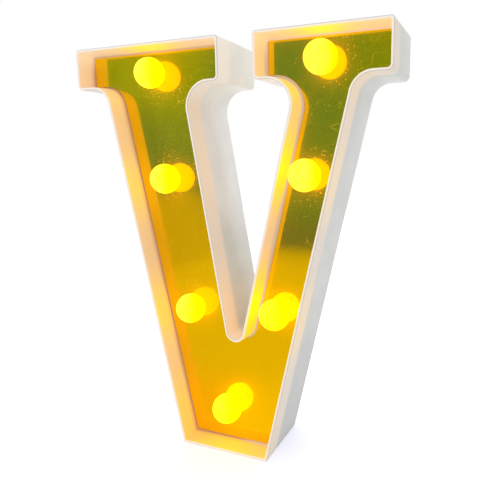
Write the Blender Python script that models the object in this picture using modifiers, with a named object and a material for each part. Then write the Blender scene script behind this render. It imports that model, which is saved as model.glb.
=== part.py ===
"""LED letter light: a V-shaped marquee letter with seven globe bulbs, run on two AA cells.

The front faces -Y and the letter stands on its foot at Z = 0. Every length below is in millimetres
times MM. The casing follows one outline, so the shell, the mirror and the back cover are all cut
from the same edges at different insets.
"""
import math

import bmesh
import bpy
from mathutils import Vector

MM = 0.001

# Letter outline, seen from the front
LETTER_HEIGHT = 220.0 * MM
LEFT_SERIF_WIDTH = 89.8 * MM
RIGHT_SERIF_WIDTH = 67.4 * MM
SERIF_GAP = 18.9 * MM
LEFT_SERIF_HEIGHT = 21.7 * MM
RIGHT_SERIF_HEIGHT = 22.6 * MM
FOOT_OFFSET = 61.3 * MM
FOOT_WIDTH = 51.8 * MM
LEFT_STROKE_TOP_OFFSET = 14.2 * MM
LEFT_STROKE_TOP_WIDTH = 51.6 * MM
RIGHT_STROKE_TOP_OFFSET = 11.5 * MM
RIGHT_STROKE_TOP_WIDTH = 28.3 * MM
TOP_CORNER_RADIUS = 1.5 * MM
LOW_CORNER_RADIUS = 3.0 * MM
OUTER_BRACKET_RADIUS = 10.0 * MM
INNER_BRACKET_RADIUS = 12.0 * MM
NOTCH_RADIUS = 4.4 * MM
NOTCH_OFFSET = 34.6 * MM
NOTCH_ROOM = 1.3 * MM
FOOT_CORNER_RADIUS = 0.5 * MM
SHARPEST_CORNER = 0.35 * MM
ARC_TOLERANCE = 0.05 * MM

# Casing
SHELL_DEPTH = 41.1 * MM
TRAY_DEPTH = 11.65 * MM
RIM_THICKNESS = 1.3 * MM
WALL_THICKNESS = 1.9 * MM
REBATE_WALL = 1.1 * MM
WEB_THICKNESS = 1.6 * MM
EDGE_BREAK = 0.35 * MM
MIRROR_THICKNESS = 1.0 * MM
MIRROR_EDGE_GAP = 1.0 * MM
COVER_THICKNESS = 2.2 * MM
CLEARANCE = 0.3 * MM
OVERRUN = 2.0 * MM

# Bulbs: a frosted globe whose neck snaps through the mirror and the web, over a round LED
GLOBE_RADIUS = 8.27 * MM
GLOBE_WALL = 1.2 * MM
NECK_RADIUS = 4.1 * MM
NECK_WALL = 0.9 * MM
NECK_TAIL = 2.4 * MM
BEAD_HEIGHT = 0.65 * MM
BEAD_LENGTH = 1.0 * MM
LED_RADIUS = 2.5 * MM
LED_LENGTH = 8.6 * MM
LED_FLANGE_RADIUS = 2.9 * MM
LED_FLANGE_LENGTH = 1.0 * MM
LEG_PITCH = 2.54 * MM
LEG_SIZE = 0.5 * MM
LEG_LENGTH = 5.0 * MM

# Screws, and the bosses and cups that take them
SCREW_HEAD_RADIUS = 2.6 * MM
SCREW_HEAD_HEIGHT = 1.7 * MM
SCREW_SHANK_RADIUS = 1.25 * MM
SCREW_LENGTH = 10.0 * MM
BOSS_WALL = 1.5 * MM
BOSS_HOLE_DEPTH = 12.0 * MM
CUP_DEPTH = 2.4 * MM
CUP_FLOOR = 1.5 * MM
CUP_WALL = 1.2 * MM

# AA cells and their bay in the back cover
CELL_RADIUS = 7.1 * MM
CELL_LENGTH = 49.2 * MM
CELL_NUB_RADIUS = 2.6 * MM
CELL_NUB_LENGTH = 1.3 * MM
CELL_SHOULDER = 0.5 * MM
CELL_CLEARANCE = 0.4 * MM
BAY_WALL = 1.5 * MM
BAY_SIDE_GAP = 0.8 * MM
DIVIDER_HEIGHT = 4.0 * MM
DIVIDER_THICKNESS = 1.2 * MM
CONTACT_THICKNESS = 0.4 * MM
CONTACT_WIDTH = 9.0 * MM
CONTACT_HEIGHT = 11.0 * MM
CONTACT_GAP = 0.4 * MM
TAB_WIDTH = 3.0 * MM
SPRING_LENGTH = 3.8 * MM
SPRING_WIRE_RADIUS = 0.27 * MM
SPRING_TIP_RADIUS = 2.3 * MM
SPRING_BASE_RADIUS = 4.6 * MM
SPRING_CURLS = 4
SPRING_POINTS_PER_CURL = 9

# Battery door: tongues at its lower edge, a spring latch and a finger grip at its upper edge
DOOR_THICKNESS = 1.5 * MM
DOOR_CELL_GAP = 0.5 * MM
DOOR_LEDGE = 0.8 * MM
TONGUE_WIDTH = 6.0 * MM
TONGUE_REACH = 1.8 * MM
TONGUE_INSET = 12.0 * MM
LATCH_WIDTH = 9.0 * MM
LATCH_LENGTH = 8.0 * MM
LATCH_SLIT = 0.8 * MM
GRIP_RIB_HEIGHT = 0.5 * MM
GRIP_RIB_THICKNESS = 0.8 * MM
GRIP_RIB_COUNT = 3

# Slide switch in its well
SWITCH_RISE = 10.0 * MM
SWITCH_TRAVEL = 4.0 * MM
KNOB_LENGTH = 3.6 * MM
KNOB_WIDTH = 3.0 * MM
KNOB_GROOVE = 0.5 * MM
SLIDER_FOOT_LENGTH = 7.0 * MM
SLIDER_FOOT_WIDTH = 4.2 * MM
SLIDER_FOOT_HEIGHT = 0.8 * MM
SWITCH_WALL = 1.0 * MM
SWITCH_BODY_HEIGHT = 4.6 * MM
SWITCH_PIN_SIZE = 0.8 * MM
SWITCH_PIN_LENGTH = 3.0 * MM
SWITCH_PIN_PITCH = 4.0 * MM
WELL_DEPTH = 2.0 * MM
WELL_FLOOR = 1.4 * MM
WELL_WALL = 1.4 * MM
WELL_MARGIN = 1.6 * MM

# Keyholes for hanging the letter on two screws
KEYHOLE_RADIUS = 4.2 * MM
KEYHOLE_SLOT_WIDTH = 4.6 * MM
KEYHOLE_SLOT_LENGTH = 8.0 * MM
KEYHOLE_DROP = 36.0 * MM

# Wiring behind the web
WIRE_RADIUS = 0.6 * MM
WIRE_DEPTH = 4.5 * MM
RESISTOR_RADIUS = 1.2 * MM
RESISTOR_LENGTH = 6.3 * MM
RESISTOR_LEAD_RADIUS = 0.35 * MM
SWITCH_LEAD_RISE = 20.0 * MM

# Bulb places as shares: height along the letter, then the way across the stroke at that height
LEFT_BULB_SHARES = ((0.934, 0.557), (0.680, 0.484), (0.357, 0.478))
FOOT_BULB_SHARE = (0.107, 0.503)
RIGHT_BULB_SHARES = ((0.366, 0.480), (0.691, 0.470), (0.937, 0.300))
GLOBE_SINK_SHARE = 0.133

# Screw places as shares: height along the letter, then the way across the serif, stroke or foot
LEFT_SERIF_SCREW_SHARES = ((0.951, 0.105), (0.951, 0.890))
RIGHT_SERIF_SCREW_SHARES = ((0.949, 0.870),)
LEFT_STROKE_SCREW_SHARES = ((0.520, 0.210),)
RIGHT_STROKE_SCREW_SHARES = ((0.527, 0.760),)
FOOT_SCREW_SHARE = (0.044, 0.503)
SWITCH_ACROSS_SHARE = 0.45
KEYHOLE_ACROSS_SHARE = 0.5

# Small shapes as shares: the flat of a screw's head, and a resistor's waist and its two ends
HEAD_CROWN_SHARE = 0.75
WAIST_RADIUS_SHARE = 0.8
WAIST_LENGTH_SHARE = 0.4
RESISTOR_END_SHARE = 0.5

# Facets
GLOBE_SIDES = 18
GLOBE_RINGS = 7
BORE_RINGS = 5
HOLE_SIDES = 20
TURNED_SIDES = 16
SMALL_SIDES = 12
DOME_STEPS = 3
SHARP_ANGLE = math.radians(35.0)
WIRE_TURN_START = math.radians(200.0)
WIRE_TURN_END = math.radians(340.0)
WIRE_TURN_STEPS = 7

# Stations along the depth of the letter
GLOBE_SINK = GLOBE_SINK_SHARE * GLOBE_RADIUS
GLOBE_PROUD = 2.0 * GLOBE_RADIUS - GLOBE_SINK - TRAY_DEPTH
REAR_Y = (SHELL_DEPTH + GLOBE_PROUD) / 2.0
FRONT_Y = REAR_Y - SHELL_DEPTH
MIRROR_Y = FRONT_Y + TRAY_DEPTH
WEB_FRONT_Y = MIRROR_Y + MIRROR_THICKNESS + CLEARANCE
WEB_BACK_Y = WEB_FRONT_Y + WEB_THICKNESS
COVER_FRONT_Y = REAR_Y - COVER_THICKNESS
NECK_END_Y = WEB_BACK_Y + NECK_TAIL
WIRE_Y = WEB_BACK_Y + WIRE_DEPTH
CUP_FRONT_Y = REAR_Y - CUP_DEPTH - CUP_FLOOR
CELL_Y = REAR_Y - DOOR_THICKNESS - DOOR_CELL_GAP - CELL_RADIUS
BAY_FLOOR_Y = CELL_Y - CELL_RADIUS - CELL_CLEARANCE

# Places across the letter
LETTER_WIDTH = LEFT_SERIF_WIDTH + SERIF_GAP + RIGHT_SERIF_WIDTH
LEFT_X = -LETTER_WIDTH / 2.0
RIGHT_X = LETTER_WIDTH / 2.0
FOOT_LEFT_X = LEFT_X + FOOT_OFFSET
FOOT_RIGHT_X = FOOT_LEFT_X + FOOT_WIDTH
MIRROR_INSET = WALL_THICKNESS + MIRROR_EDGE_GAP
COVER_INSET = REBATE_WALL + CLEARANCE

# The bay is as long as a cell with its spring and both contacts
BAY_LENGTH = (CELL_LENGTH + CELL_NUB_LENGTH + SPRING_LENGTH + 3.0 * CLEARANCE
              + 2.0 * (CONTACT_THICKNESS + CONTACT_GAP))
BAY_HEIGHT = 4.0 * CELL_RADIUS + 3.0 * CELL_CLEARANCE


def stroke_edge(foot_x, top_x):
    """A stroke's slanted edge line, as a function from height to x."""
    lean = (top_x - foot_x) / LETTER_HEIGHT
    return lambda z: foot_x + lean * z


LEFT_TOP_X = LEFT_X + LEFT_STROKE_TOP_OFFSET
RIGHT_TOP_X = RIGHT_X - RIGHT_STROKE_TOP_OFFSET
LEFT_OUTER = stroke_edge(FOOT_LEFT_X, LEFT_TOP_X)
RIGHT_OUTER = stroke_edge(FOOT_RIGHT_X, RIGHT_TOP_X)


def bay_place():
    """Lower edge and middle of the battery bay: as low as the narrowing foot lets its walls go."""
    outer_length = BAY_LENGTH + 2.0 * (BAY_WALL + BAY_SIDE_GAP)
    foot_room = FOOT_WIDTH - 2.0 * WALL_THICKNESS
    spread = (RIGHT_TOP_X - LEFT_TOP_X - FOOT_WIDTH) / LETTER_HEIGHT
    bottom_z = (outer_length - foot_room) / spread
    return Vector(((LEFT_OUTER(bottom_z) + RIGHT_OUTER(bottom_z)) / 2.0, bottom_z))


BAY = bay_place()
BAY_INNER_Z = BAY.y + BAY_WALL
BAY_TOP_Z = BAY_INNER_Z + BAY_HEIGHT + BAY_WALL
BAY_LEFT_X = BAY.x - BAY_LENGTH / 2.0
BAY_RIGHT_X = BAY.x + BAY_LENGTH / 2.0
LOWER_CELL_Z = BAY_INNER_Z + CELL_CLEARANCE + CELL_RADIUS
UPPER_CELL_Z = LOWER_CELL_Z + 2.0 * CELL_RADIUS + CELL_CLEARANCE


def notch_tangent(top_x, side):
    """Foot x of the inner edge from top_x that touches the notch's round bottom, side -1 on its left."""
    top = Vector((top_x, LETTER_HEIGHT))
    middle = Vector((FOOT_LEFT_X + NOTCH_OFFSET, BAY_TOP_Z + NOTCH_ROOM + WALL_THICKNESS + NOTCH_RADIUS))
    reach = middle - top
    swing = math.asin(NOTCH_RADIUS / reach.length)
    down = math.atan2(reach.y, reach.x) + side * swing
    return top.x - top.y / math.tan(down)


LEFT_INNER_TOP_X = LEFT_TOP_X + LEFT_STROKE_TOP_WIDTH
RIGHT_INNER_TOP_X = RIGHT_TOP_X - RIGHT_STROKE_TOP_WIDTH
LEFT_INNER = stroke_edge(notch_tangent(LEFT_INNER_TOP_X, -1.0), LEFT_INNER_TOP_X)
RIGHT_INNER = stroke_edge(notch_tangent(RIGHT_INNER_TOP_X, 1.0), RIGHT_INNER_TOP_X)


def across(near_edge, far_edge, shares):
    """The place at a share of the letter's height and a share of the way between two edges."""
    height_share, across_share = shares
    z = height_share * LETTER_HEIGHT
    return Vector((near_edge(z) + across_share * (far_edge(z) - near_edge(z)), z))


def across_serif(start_x, width, shares):
    """The place at a share of the letter's height and a share of a serif's width."""
    height_share, across_share = shares
    return Vector((start_x + across_share * width, height_share * LETTER_HEIGHT))


def bulb_places():
    """Bulb centres in order along the letter: down the left stroke, the foot, up the right stroke."""
    left = [across(LEFT_OUTER, LEFT_INNER, shares) for shares in LEFT_BULB_SHARES]
    foot = [across(LEFT_OUTER, RIGHT_OUTER, FOOT_BULB_SHARE)]
    right = [across(RIGHT_INNER, RIGHT_OUTER, shares) for shares in RIGHT_BULB_SHARES]
    return left + foot + right


def screw_places():
    """Screw axes: the serif ends, one in each stroke and one in the foot."""
    places = [across_serif(LEFT_X, LEFT_SERIF_WIDTH, shares) for shares in LEFT_SERIF_SCREW_SHARES]
    right_serif_x = RIGHT_X - RIGHT_SERIF_WIDTH
    places += [across_serif(right_serif_x, RIGHT_SERIF_WIDTH, shares) for shares in RIGHT_SERIF_SCREW_SHARES]
    places += [across(LEFT_OUTER, LEFT_INNER, shares) for shares in LEFT_STROKE_SCREW_SHARES]
    places += [across(RIGHT_INNER, RIGHT_OUTER, shares) for shares in RIGHT_STROKE_SCREW_SHARES]
    places.append(across(LEFT_OUTER, RIGHT_OUTER, FOOT_SCREW_SHARE))
    return places


# Switch sizes that follow from its slider and travel
CHANNEL_LENGTH = SLIDER_FOOT_LENGTH + SWITCH_TRAVEL + 2.0 * CLEARANCE
CHANNEL_WIDTH = SLIDER_FOOT_WIDTH + 2.0 * CLEARANCE
CHANNEL_DEPTH = SLIDER_FOOT_HEIGHT + CLEARANCE
SWITCH_LENGTH = CHANNEL_LENGTH + 2.0 * SWITCH_WALL
SWITCH_WIDTH = CHANNEL_WIDTH + 2.0 * SWITCH_WALL
SWITCH_Z = BAY_TOP_Z + SWITCH_RISE
SWITCH_X = LEFT_OUTER(SWITCH_Z) + SWITCH_ACROSS_SHARE * (LEFT_INNER(SWITCH_Z) - LEFT_OUTER(SWITCH_Z))
WELL_FLOOR_Y = REAR_Y - WELL_DEPTH - WELL_FLOOR
SWITCH_TOP_Y = WELL_FLOOR_Y - CLEARANCE

parts = None
cutters = None


def start_collections():
    """Clear the scene's objects and make one collection for the parts and one for the cutters."""
    for old in list(bpy.data.objects):
        bpy.data.objects.remove(old, do_unlink=True)
    made = []
    for name in ("led_letter_light", "cutters"):
        collection = bpy.data.collections.new(name)
        bpy.context.scene.collection.children.link(collection)
        made.append(collection)
    return made


def material(name, colour, roughness, metallic=0.0):
    """A Principled material, made once per name."""
    if name in bpy.data.materials:
        return bpy.data.materials[name]
    made = bpy.data.materials.new(name)
    made.use_nodes = True
    shader = made.node_tree.nodes["Principled BSDF"]
    shader.inputs["Base Color"].default_value = (*colour, 1.0)
    shader.inputs["Roughness"].default_value = roughness
    shader.inputs["Metallic"].default_value = metallic
    made.diffuse_color = (*colour, 1.0)
    return made


def white_plastic():
    return material("white_plastic", (0.86, 0.84, 0.80), 0.45)


def gold_mirror():
    return material("gold_mirror", (0.62, 0.48, 0.05), 0.06, 1.0)


def frosted_yellow():
    return material("frosted_yellow", (1.0, 0.92, 0.05), 0.5)


def clear_epoxy():
    return material("clear_epoxy", (0.95, 0.90, 0.60), 0.15)


def bright_metal():
    return material("bright_metal", (0.75, 0.75, 0.74), 0.25, 1.0)


def black_plastic():
    return material("black_plastic", (0.02, 0.02, 0.02), 0.4)


def cell_wrap():
    return material("cell_wrap", (0.16, 0.17, 0.19), 0.35)


def body_object(name, bm, surface, collection=None):
    """An object from a bmesh, with outward faces and smooth shading on its round sides."""
    bmesh.ops.recalc_face_normals(bm, faces=bm.faces)
    mesh = bpy.data.meshes.new(name)
    bm.to_mesh(mesh)
    bm.free()
    mesh.shade_smooth()
    mesh.set_sharp_from_angle(angle=SHARP_ANGLE)
    made = bpy.data.objects.new(name, mesh)
    if surface is not None:
        mesh.materials.append(surface)
    (collection or parts).objects.link(made)
    return made


def cutter_object(name, bm):
    """A cutter, kept out of the build and of the render."""
    made = body_object(name, bm, None, cutters)
    made.display_type = 'WIRE'
    made.hide_render = True
    return made


def combine(body, tool, operation):
    """A Boolean between a body and a tool that stays on the body."""
    modifier = body.modifiers.new(tool.name, 'BOOLEAN')
    modifier.operation = operation
    modifier.solver = 'EXACT'
    modifier.object = tool


def add_rod(bm, radius, place, near_y, far_y, sides=HOLE_SIDES):
    """A cylinder along Y at a place in the letter's face."""
    made = bmesh.ops.create_cone(bm, cap_ends=True, segments=sides, radius1=radius, radius2=radius,
                                 depth=far_y - near_y)["verts"]
    for vert in made:
        x, y, z = vert.co
        vert.co = (place.x + x, (near_y + far_y) / 2.0 - z, place.y + y)


def add_box(bm, low, high):
    """A box between two corners."""
    made = bmesh.ops.create_cube(bm, size=1.0)["verts"]
    for vert in made:
        vert.co = [low[axis] + (vert.co[axis] + 0.5) * (high[axis] - low[axis]) for axis in range(3)]


def add_loft(bm, rings):
    """A closed body through rings that have as many points each, with the end rings filled."""
    loops = [[bm.verts.new(point) for point in ring] for ring in rings]
    count = len(loops[0])
    for near, far in zip(loops, loops[1:]):
        for index in range(count):
            following = (index + 1) % count
            bm.faces.new((near[index], near[following], far[following], far[index]))
    bm.faces.new(loops[0])
    bm.faces.new(list(reversed(loops[-1])))


def crossing(first, second, shift):
    """Where two edges meet once both have moved inwards by a shift."""
    (point_a, normal_a), (point_b, normal_b) = first, second
    reach_a = point_a.dot(normal_a) - shift
    reach_b = point_b.dot(normal_b) - shift
    determinant = normal_a.x * normal_b.y - normal_a.y * normal_b.x
    return Vector(((reach_a * normal_b.y - reach_b * normal_a.y) / determinant,
                   (reach_b * normal_a.x - reach_a * normal_b.x) / determinant))


def stroke_side(edge, facing):
    """A slanted edge as a point and its outward normal, facing 1 for +X and -1 for -X."""
    foot = Vector((edge(0.0), 0.0))
    along = Vector((edge(LETTER_HEIGHT), LETTER_HEIGHT)) - foot
    return foot, Vector((along.y, -along.x)).normalized() * facing


def letter_corners():
    """Each corner of the letter, clockwise from the front: the edges it joins and its radius.

    A radius below zero marks a hollow corner.
    """
    up, down = Vector((0.0, 1.0)), Vector((0.0, -1.0))
    right, left = Vector((1.0, 0.0)), Vector((-1.0, 0.0))
    top = (Vector((0.0, LETTER_HEIGHT)), up)
    under_left = (Vector((0.0, LETTER_HEIGHT - LEFT_SERIF_HEIGHT)), down)
    under_right = (Vector((0.0, LETTER_HEIGHT - RIGHT_SERIF_HEIGHT)), down)
    sole = (Vector((0.0, 0.0)), down)
    left_serif_end = (Vector((LEFT_X, 0.0)), left)
    left_serif_tip = (Vector((LEFT_X + LEFT_SERIF_WIDTH, 0.0)), right)
    right_serif_tip = (Vector((RIGHT_X - RIGHT_SERIF_WIDTH, 0.0)), left)
    right_serif_end = (Vector((RIGHT_X, 0.0)), right)
    left_outer, left_inner = stroke_side(LEFT_OUTER, -1.0), stroke_side(LEFT_INNER, 1.0)
    right_inner, right_outer = stroke_side(RIGHT_INNER, -1.0), stroke_side(RIGHT_OUTER, 1.0)
    return (
        (top, left_serif_tip, TOP_CORNER_RADIUS),
        (left_serif_tip, under_left, LOW_CORNER_RADIUS),
        (under_left, left_inner, -INNER_BRACKET_RADIUS),
        (left_inner, right_inner, -NOTCH_RADIUS),
        (right_inner, under_right, -INNER_BRACKET_RADIUS),
        (under_right, right_serif_tip, LOW_CORNER_RADIUS),
        (right_serif_tip, top, TOP_CORNER_RADIUS),
        (top, right_serif_end, TOP_CORNER_RADIUS),
        (right_serif_end, under_right, LOW_CORNER_RADIUS),
        (under_right, right_outer, -OUTER_BRACKET_RADIUS),
        (right_outer, sole, FOOT_CORNER_RADIUS),
        (sole, left_outer, FOOT_CORNER_RADIUS),
        (left_outer, under_left, -OUTER_BRACKET_RADIUS),
        (under_left, left_serif_end, LOW_CORNER_RADIUS),
        (left_serif_end, top, TOP_CORNER_RADIUS),
    )


def corner_points(first, second, radius, inset):
    """The rounded corner between two edges, once both have moved inwards by an inset."""
    side = 1.0 if radius > 0.0 else -1.0
    reach = max(abs(radius) - side * inset, SHARPEST_CORNER)
    centre = crossing(first, second, inset + side * reach)
    start = math.atan2(first[1].y, first[1].x)
    turn = first[1].angle_signed(second[1])
    step = 2.0 * math.acos(1.0 - ARC_TOLERANCE / abs(radius))
    count = max(2, round(abs(turn) / step))
    points = []
    for index in range(count + 1):
        angle = start - turn * index / count
        points.append(centre + side * reach * Vector((math.cos(angle), math.sin(angle))))
    return points


def letter_outline(inset):
    """The letter's outline at an inset from its outer edge; every inset has as many points."""
    points = []
    for first, second, radius in letter_corners():
        points += corner_points(first, second, radius, inset)
    return points


def swept_body(bm, section):
    """A body whose side follows a section of (inset, y) points all round the letter."""
    add_loft(bm, [[(point.x, y, point.y) for point in letter_outline(inset)] for inset, y in section])


def shell_section():
    """From the web's front, over the drafted tray wall, rim, side and cover rebate, to its back."""
    ledge_y = COVER_FRONT_Y - CLEARANCE
    return (
        (WALL_THICKNESS, WEB_FRONT_Y),
        (RIM_THICKNESS, FRONT_Y + EDGE_BREAK),
        (RIM_THICKNESS - EDGE_BREAK, FRONT_Y),
        (EDGE_BREAK, FRONT_Y),
        (0.0, FRONT_Y + EDGE_BREAK),
        (0.0, REAR_Y - EDGE_BREAK),
        (EDGE_BREAK, REAR_Y),
        (REBATE_WALL, REAR_Y),
        (REBATE_WALL, ledge_y),
        (WALL_THICKNESS, ledge_y),
        (WALL_THICKNESS, WEB_BACK_Y),
    )


def letter_shell():
    """The one-piece moulding: tray, web with bulb holes, deep side wall and screw bosses."""
    bm = bmesh.new()
    swept_body(bm, shell_section())
    shell = body_object("letter_shell", bm, white_plastic())

    bosses = bmesh.new()
    pilot_radius = SCREW_SHANK_RADIUS + CLEARANCE
    boss_end_y = CUP_FRONT_Y - CLEARANCE
    for place in screw_places():
        add_rod(bosses, pilot_radius + BOSS_WALL, place, WEB_BACK_Y - WEB_THICKNESS / 2.0, boss_end_y)
    combine(shell, cutter_object("shell_bosses", bosses), 'UNION')

    holes = bmesh.new()
    for place in bulb_places():
        add_rod(holes, NECK_RADIUS + CLEARANCE, place, WEB_FRONT_Y - OVERRUN, WEB_BACK_Y + OVERRUN)
    for place in screw_places():
        add_rod(holes, pilot_radius, place, boss_end_y - BOSS_HOLE_DEPTH, boss_end_y + OVERRUN, SMALL_SIDES)
    combine(shell, cutter_object("shell_holes", holes), 'DIFFERENCE')
    return shell


def mirror_plate():
    """The gold mirror sheet on the web, with a hole for each bulb's neck."""
    bm = bmesh.new()
    swept_body(bm, ((MIRROR_INSET, MIRROR_Y), (MIRROR_INSET, MIRROR_Y + MIRROR_THICKNESS)))
    plate = body_object("mirror_plate", bm, gold_mirror())
    holes = bmesh.new()
    for place in bulb_places():
        add_rod(holes, NECK_RADIUS + CLEARANCE, place, MIRROR_Y - OVERRUN, WEB_FRONT_Y + OVERRUN)
    combine(plate, cutter_object("mirror_holes", holes), 'DIFFERENCE')


def turned(name, profile, surface, location, rotation, sides):
    """A turned body from an (x, z) profile that runs from top to bottom down its outer side."""
    mesh = bpy.data.meshes.new(name)
    points = [(x, 0.0, z) for x, z in profile]
    mesh.from_pydata(points, [(index, index + 1) for index in range(len(points) - 1)], [])
    made = bpy.data.objects.new(name, mesh)
    mesh.materials.append(surface)
    parts.objects.link(made)
    made.location = location
    made.rotation_euler = rotation
    screw = made.modifiers.new("turn", 'SCREW')
    screw.steps = sides
    screw.render_steps = sides
    screw.use_merge_vertices = True
    screw.merge_threshold = CLEARANCE / 100.0
    screw.use_smooth_shade = True
    return made


FACING_FRONT = (math.radians(90.0), 0.0, 0.0)
FACING_BACK = (math.radians(-90.0), 0.0, 0.0)
FACING_RIGHT = (0.0, math.radians(90.0), 0.0)
FACING_LEFT = (0.0, math.radians(-90.0), 0.0)


def globe_arc(radius, end_radius, centre, rings):
    """Profile points of a globe from its crown down to where it has narrowed to a neck."""
    end_angle = math.pi - math.asin(end_radius / radius)
    points = []
    for index in range(rings + 1):
        angle = end_angle * index / rings
        points.append((radius * math.sin(angle), centre + radius * math.cos(angle)))
    return points


def globe_profile():
    """Hollow globe over a neck with a snap bead; z = 0 is the mirror's face and +z is forwards."""
    centre = GLOBE_RADIUS - GLOBE_SINK
    bead_start = MIRROR_Y - WEB_BACK_Y - CLEARANCE
    neck_end = MIRROR_Y - NECK_END_Y
    outside = globe_arc(GLOBE_RADIUS, NECK_RADIUS, centre, GLOBE_RINGS)
    bead = [(NECK_RADIUS, bead_start), (NECK_RADIUS + BEAD_HEIGHT, bead_start - BEAD_HEIGHT / 2.0),
            (NECK_RADIUS, bead_start - BEAD_LENGTH - BEAD_HEIGHT), (NECK_RADIUS, neck_end)]
    inside = globe_arc(GLOBE_RADIUS - GLOBE_WALL, NECK_RADIUS - NECK_WALL, centre, BORE_RINGS)
    return outside + bead + [(NECK_RADIUS - NECK_WALL, neck_end)] + list(reversed(inside))


def bulb_globes():
    """Seven frosted globes, each on the mirror's face at its bulb place."""
    for number, place in enumerate(bulb_places(), start=1):
        turned(f"bulb_globe_{number}", globe_profile(), frosted_yellow(),
               (place.x, MIRROR_Y, place.y), FACING_FRONT, GLOBE_SIDES)


def led_profile():
    """A round LED: dome, barrel and flange; z = 0 is the flange's back and +z is forwards."""
    centre = LED_LENGTH - LED_RADIUS
    dome = [(0.0, LED_LENGTH)]
    for index in range(1, DOME_STEPS + 1):
        angle = math.pi / 2.0 * index / DOME_STEPS
        dome.append((LED_RADIUS * math.sin(angle), centre + LED_RADIUS * math.cos(angle)))
    return dome + [(LED_RADIUS, LED_FLANGE_LENGTH), (LED_FLANGE_RADIUS, LED_FLANGE_LENGTH),
                   (LED_FLANGE_RADIUS, 0.0), (0.0, 0.0)]


def leg_directions():
    """Way from each LED's middle to its positive leg: outwards in the strokes, down in the foot."""
    outwards = [Vector((-1.0, 0.0))] * len(LEFT_BULB_SHARES)
    return outwards + [Vector((0.0, -1.0))] + [Vector((1.0, 0.0))] * len(RIGHT_BULB_SHARES)


def leds():
    """Seven round LEDs in the globes' necks, each with its two legs."""
    half = LEG_SIZE / 2.0
    for number, (place, way) in enumerate(zip(bulb_places(), leg_directions()), start=1):
        led = turned(f"led_{number}", led_profile(), clear_epoxy(),
                     (place.x, NECK_END_Y, place.y), FACING_FRONT, SMALL_SIDES)
        legs = bmesh.new()
        for side in (1.0, -1.0):
            leg = side * way * LEG_PITCH / 2.0
            add_box(legs, (leg.x - half, leg.y - half, -LEG_LENGTH),
                    (leg.x + half, leg.y + half, LED_FLANGE_LENGTH / 2.0))
        tool = cutter_object(f"led_{number}_legs", legs)
        tool.location = led.location
        tool.rotation_euler = led.rotation_euler
        combine(led, tool, 'UNION')


def keyhole_outline(place):
    """A round hole with a narrower slot above it, for a screw head and its shank."""
    half_slot = KEYHOLE_SLOT_WIDTH / 2.0
    mouth = math.asin(half_slot / KEYHOLE_RADIUS)
    points = []
    for index in range(HOLE_SIDES + 1):
        angle = math.pi / 2.0 + mouth + (2.0 * math.pi - 2.0 * mouth) * index / HOLE_SIDES
        points.append(place + KEYHOLE_RADIUS * Vector((math.cos(angle), math.sin(angle))))
    slot_end = place + Vector((0.0, KEYHOLE_SLOT_LENGTH))
    for index in range(HOLE_SIDES // 2 + 1):
        angle = math.pi * index / (HOLE_SIDES // 2)
        points.append(slot_end + half_slot * Vector((math.cos(angle), math.sin(angle))))
    return points


def keyhole_places():
    """One keyhole in the top of each stroke, at one height, clear of the bulbs' LEDs."""
    z = LETTER_HEIGHT - KEYHOLE_DROP
    shares = (z / LETTER_HEIGHT, KEYHOLE_ACROSS_SHARE)
    return [across(LEFT_OUTER, LEFT_INNER, shares), across(RIGHT_INNER, RIGHT_OUTER, shares)]


def around(place, length, width):
    """Corners of a rectangle in the letter's face about a place, as low and high (x, z)."""
    half = Vector((length / 2.0, width / 2.0))
    return place - half, place + half


def add_block(bm, corners, near_y, far_y):
    """A box over a rectangle of the letter's face between two depths."""
    low, high = corners
    add_box(bm, (low.x, near_y, low.y), (high.x, far_y, high.y))


def bay_middle():
    return Vector((BAY.x, BAY_INNER_Z + BAY_HEIGHT / 2.0))


def switch_place():
    return Vector((SWITCH_X, SWITCH_Z))


def tongue_places():
    """Middles of the door's two tongues, on the lower edge of its opening."""
    reach = BAY_LENGTH / 2.0 - TONGUE_INSET
    return [Vector((BAY.x + side * reach, BAY_INNER_Z - DOOR_LEDGE)) for side in (-1.0, 1.0)]


def cover_additions():
    """Bay, switch well and screw cups, as solid blocks behind the cover's plate."""
    bm = bmesh.new()
    seam_y = COVER_FRONT_Y + COVER_THICKNESS / 2.0
    add_block(bm, around(bay_middle(), BAY_LENGTH + 2.0 * BAY_WALL, BAY_HEIGHT + 2.0 * BAY_WALL),
              BAY_FLOOR_Y - BAY_WALL, seam_y)
    add_block(bm, around(switch_place(), SWITCH_LENGTH + 2.0 * (CLEARANCE + WELL_WALL),
                         SWITCH_WIDTH + 2.0 * (CLEARANCE + WELL_WALL)),
              SWITCH_TOP_Y - SWITCH_BODY_HEIGHT, seam_y)
    for place in screw_places():
        add_rod(bm, SCREW_HEAD_RADIUS + CLEARANCE + CUP_WALL, place, CUP_FRONT_Y, seam_y)
    return bm


def cover_pockets():
    """What is hollowed first: bay, switch recess and pocket, and screw cups."""
    bm = bmesh.new()
    past_y = REAR_Y + OVERRUN
    add_block(bm, around(bay_middle(), BAY_LENGTH, BAY_HEIGHT), BAY_FLOOR_Y, past_y)
    add_block(bm, around(switch_place(), CHANNEL_LENGTH + WELL_MARGIN, CHANNEL_WIDTH + WELL_MARGIN),
              REAR_Y - WELL_DEPTH, past_y)
    add_block(bm, around(switch_place(), SWITCH_LENGTH + 2.0 * CLEARANCE, SWITCH_WIDTH + 2.0 * CLEARANCE),
              SWITCH_TOP_Y - SWITCH_BODY_HEIGHT - OVERRUN, WELL_FLOOR_Y)
    for place in screw_places():
        add_rod(bm, SCREW_HEAD_RADIUS + CLEARANCE, place, REAR_Y - CUP_DEPTH, past_y)
    return bm


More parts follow.
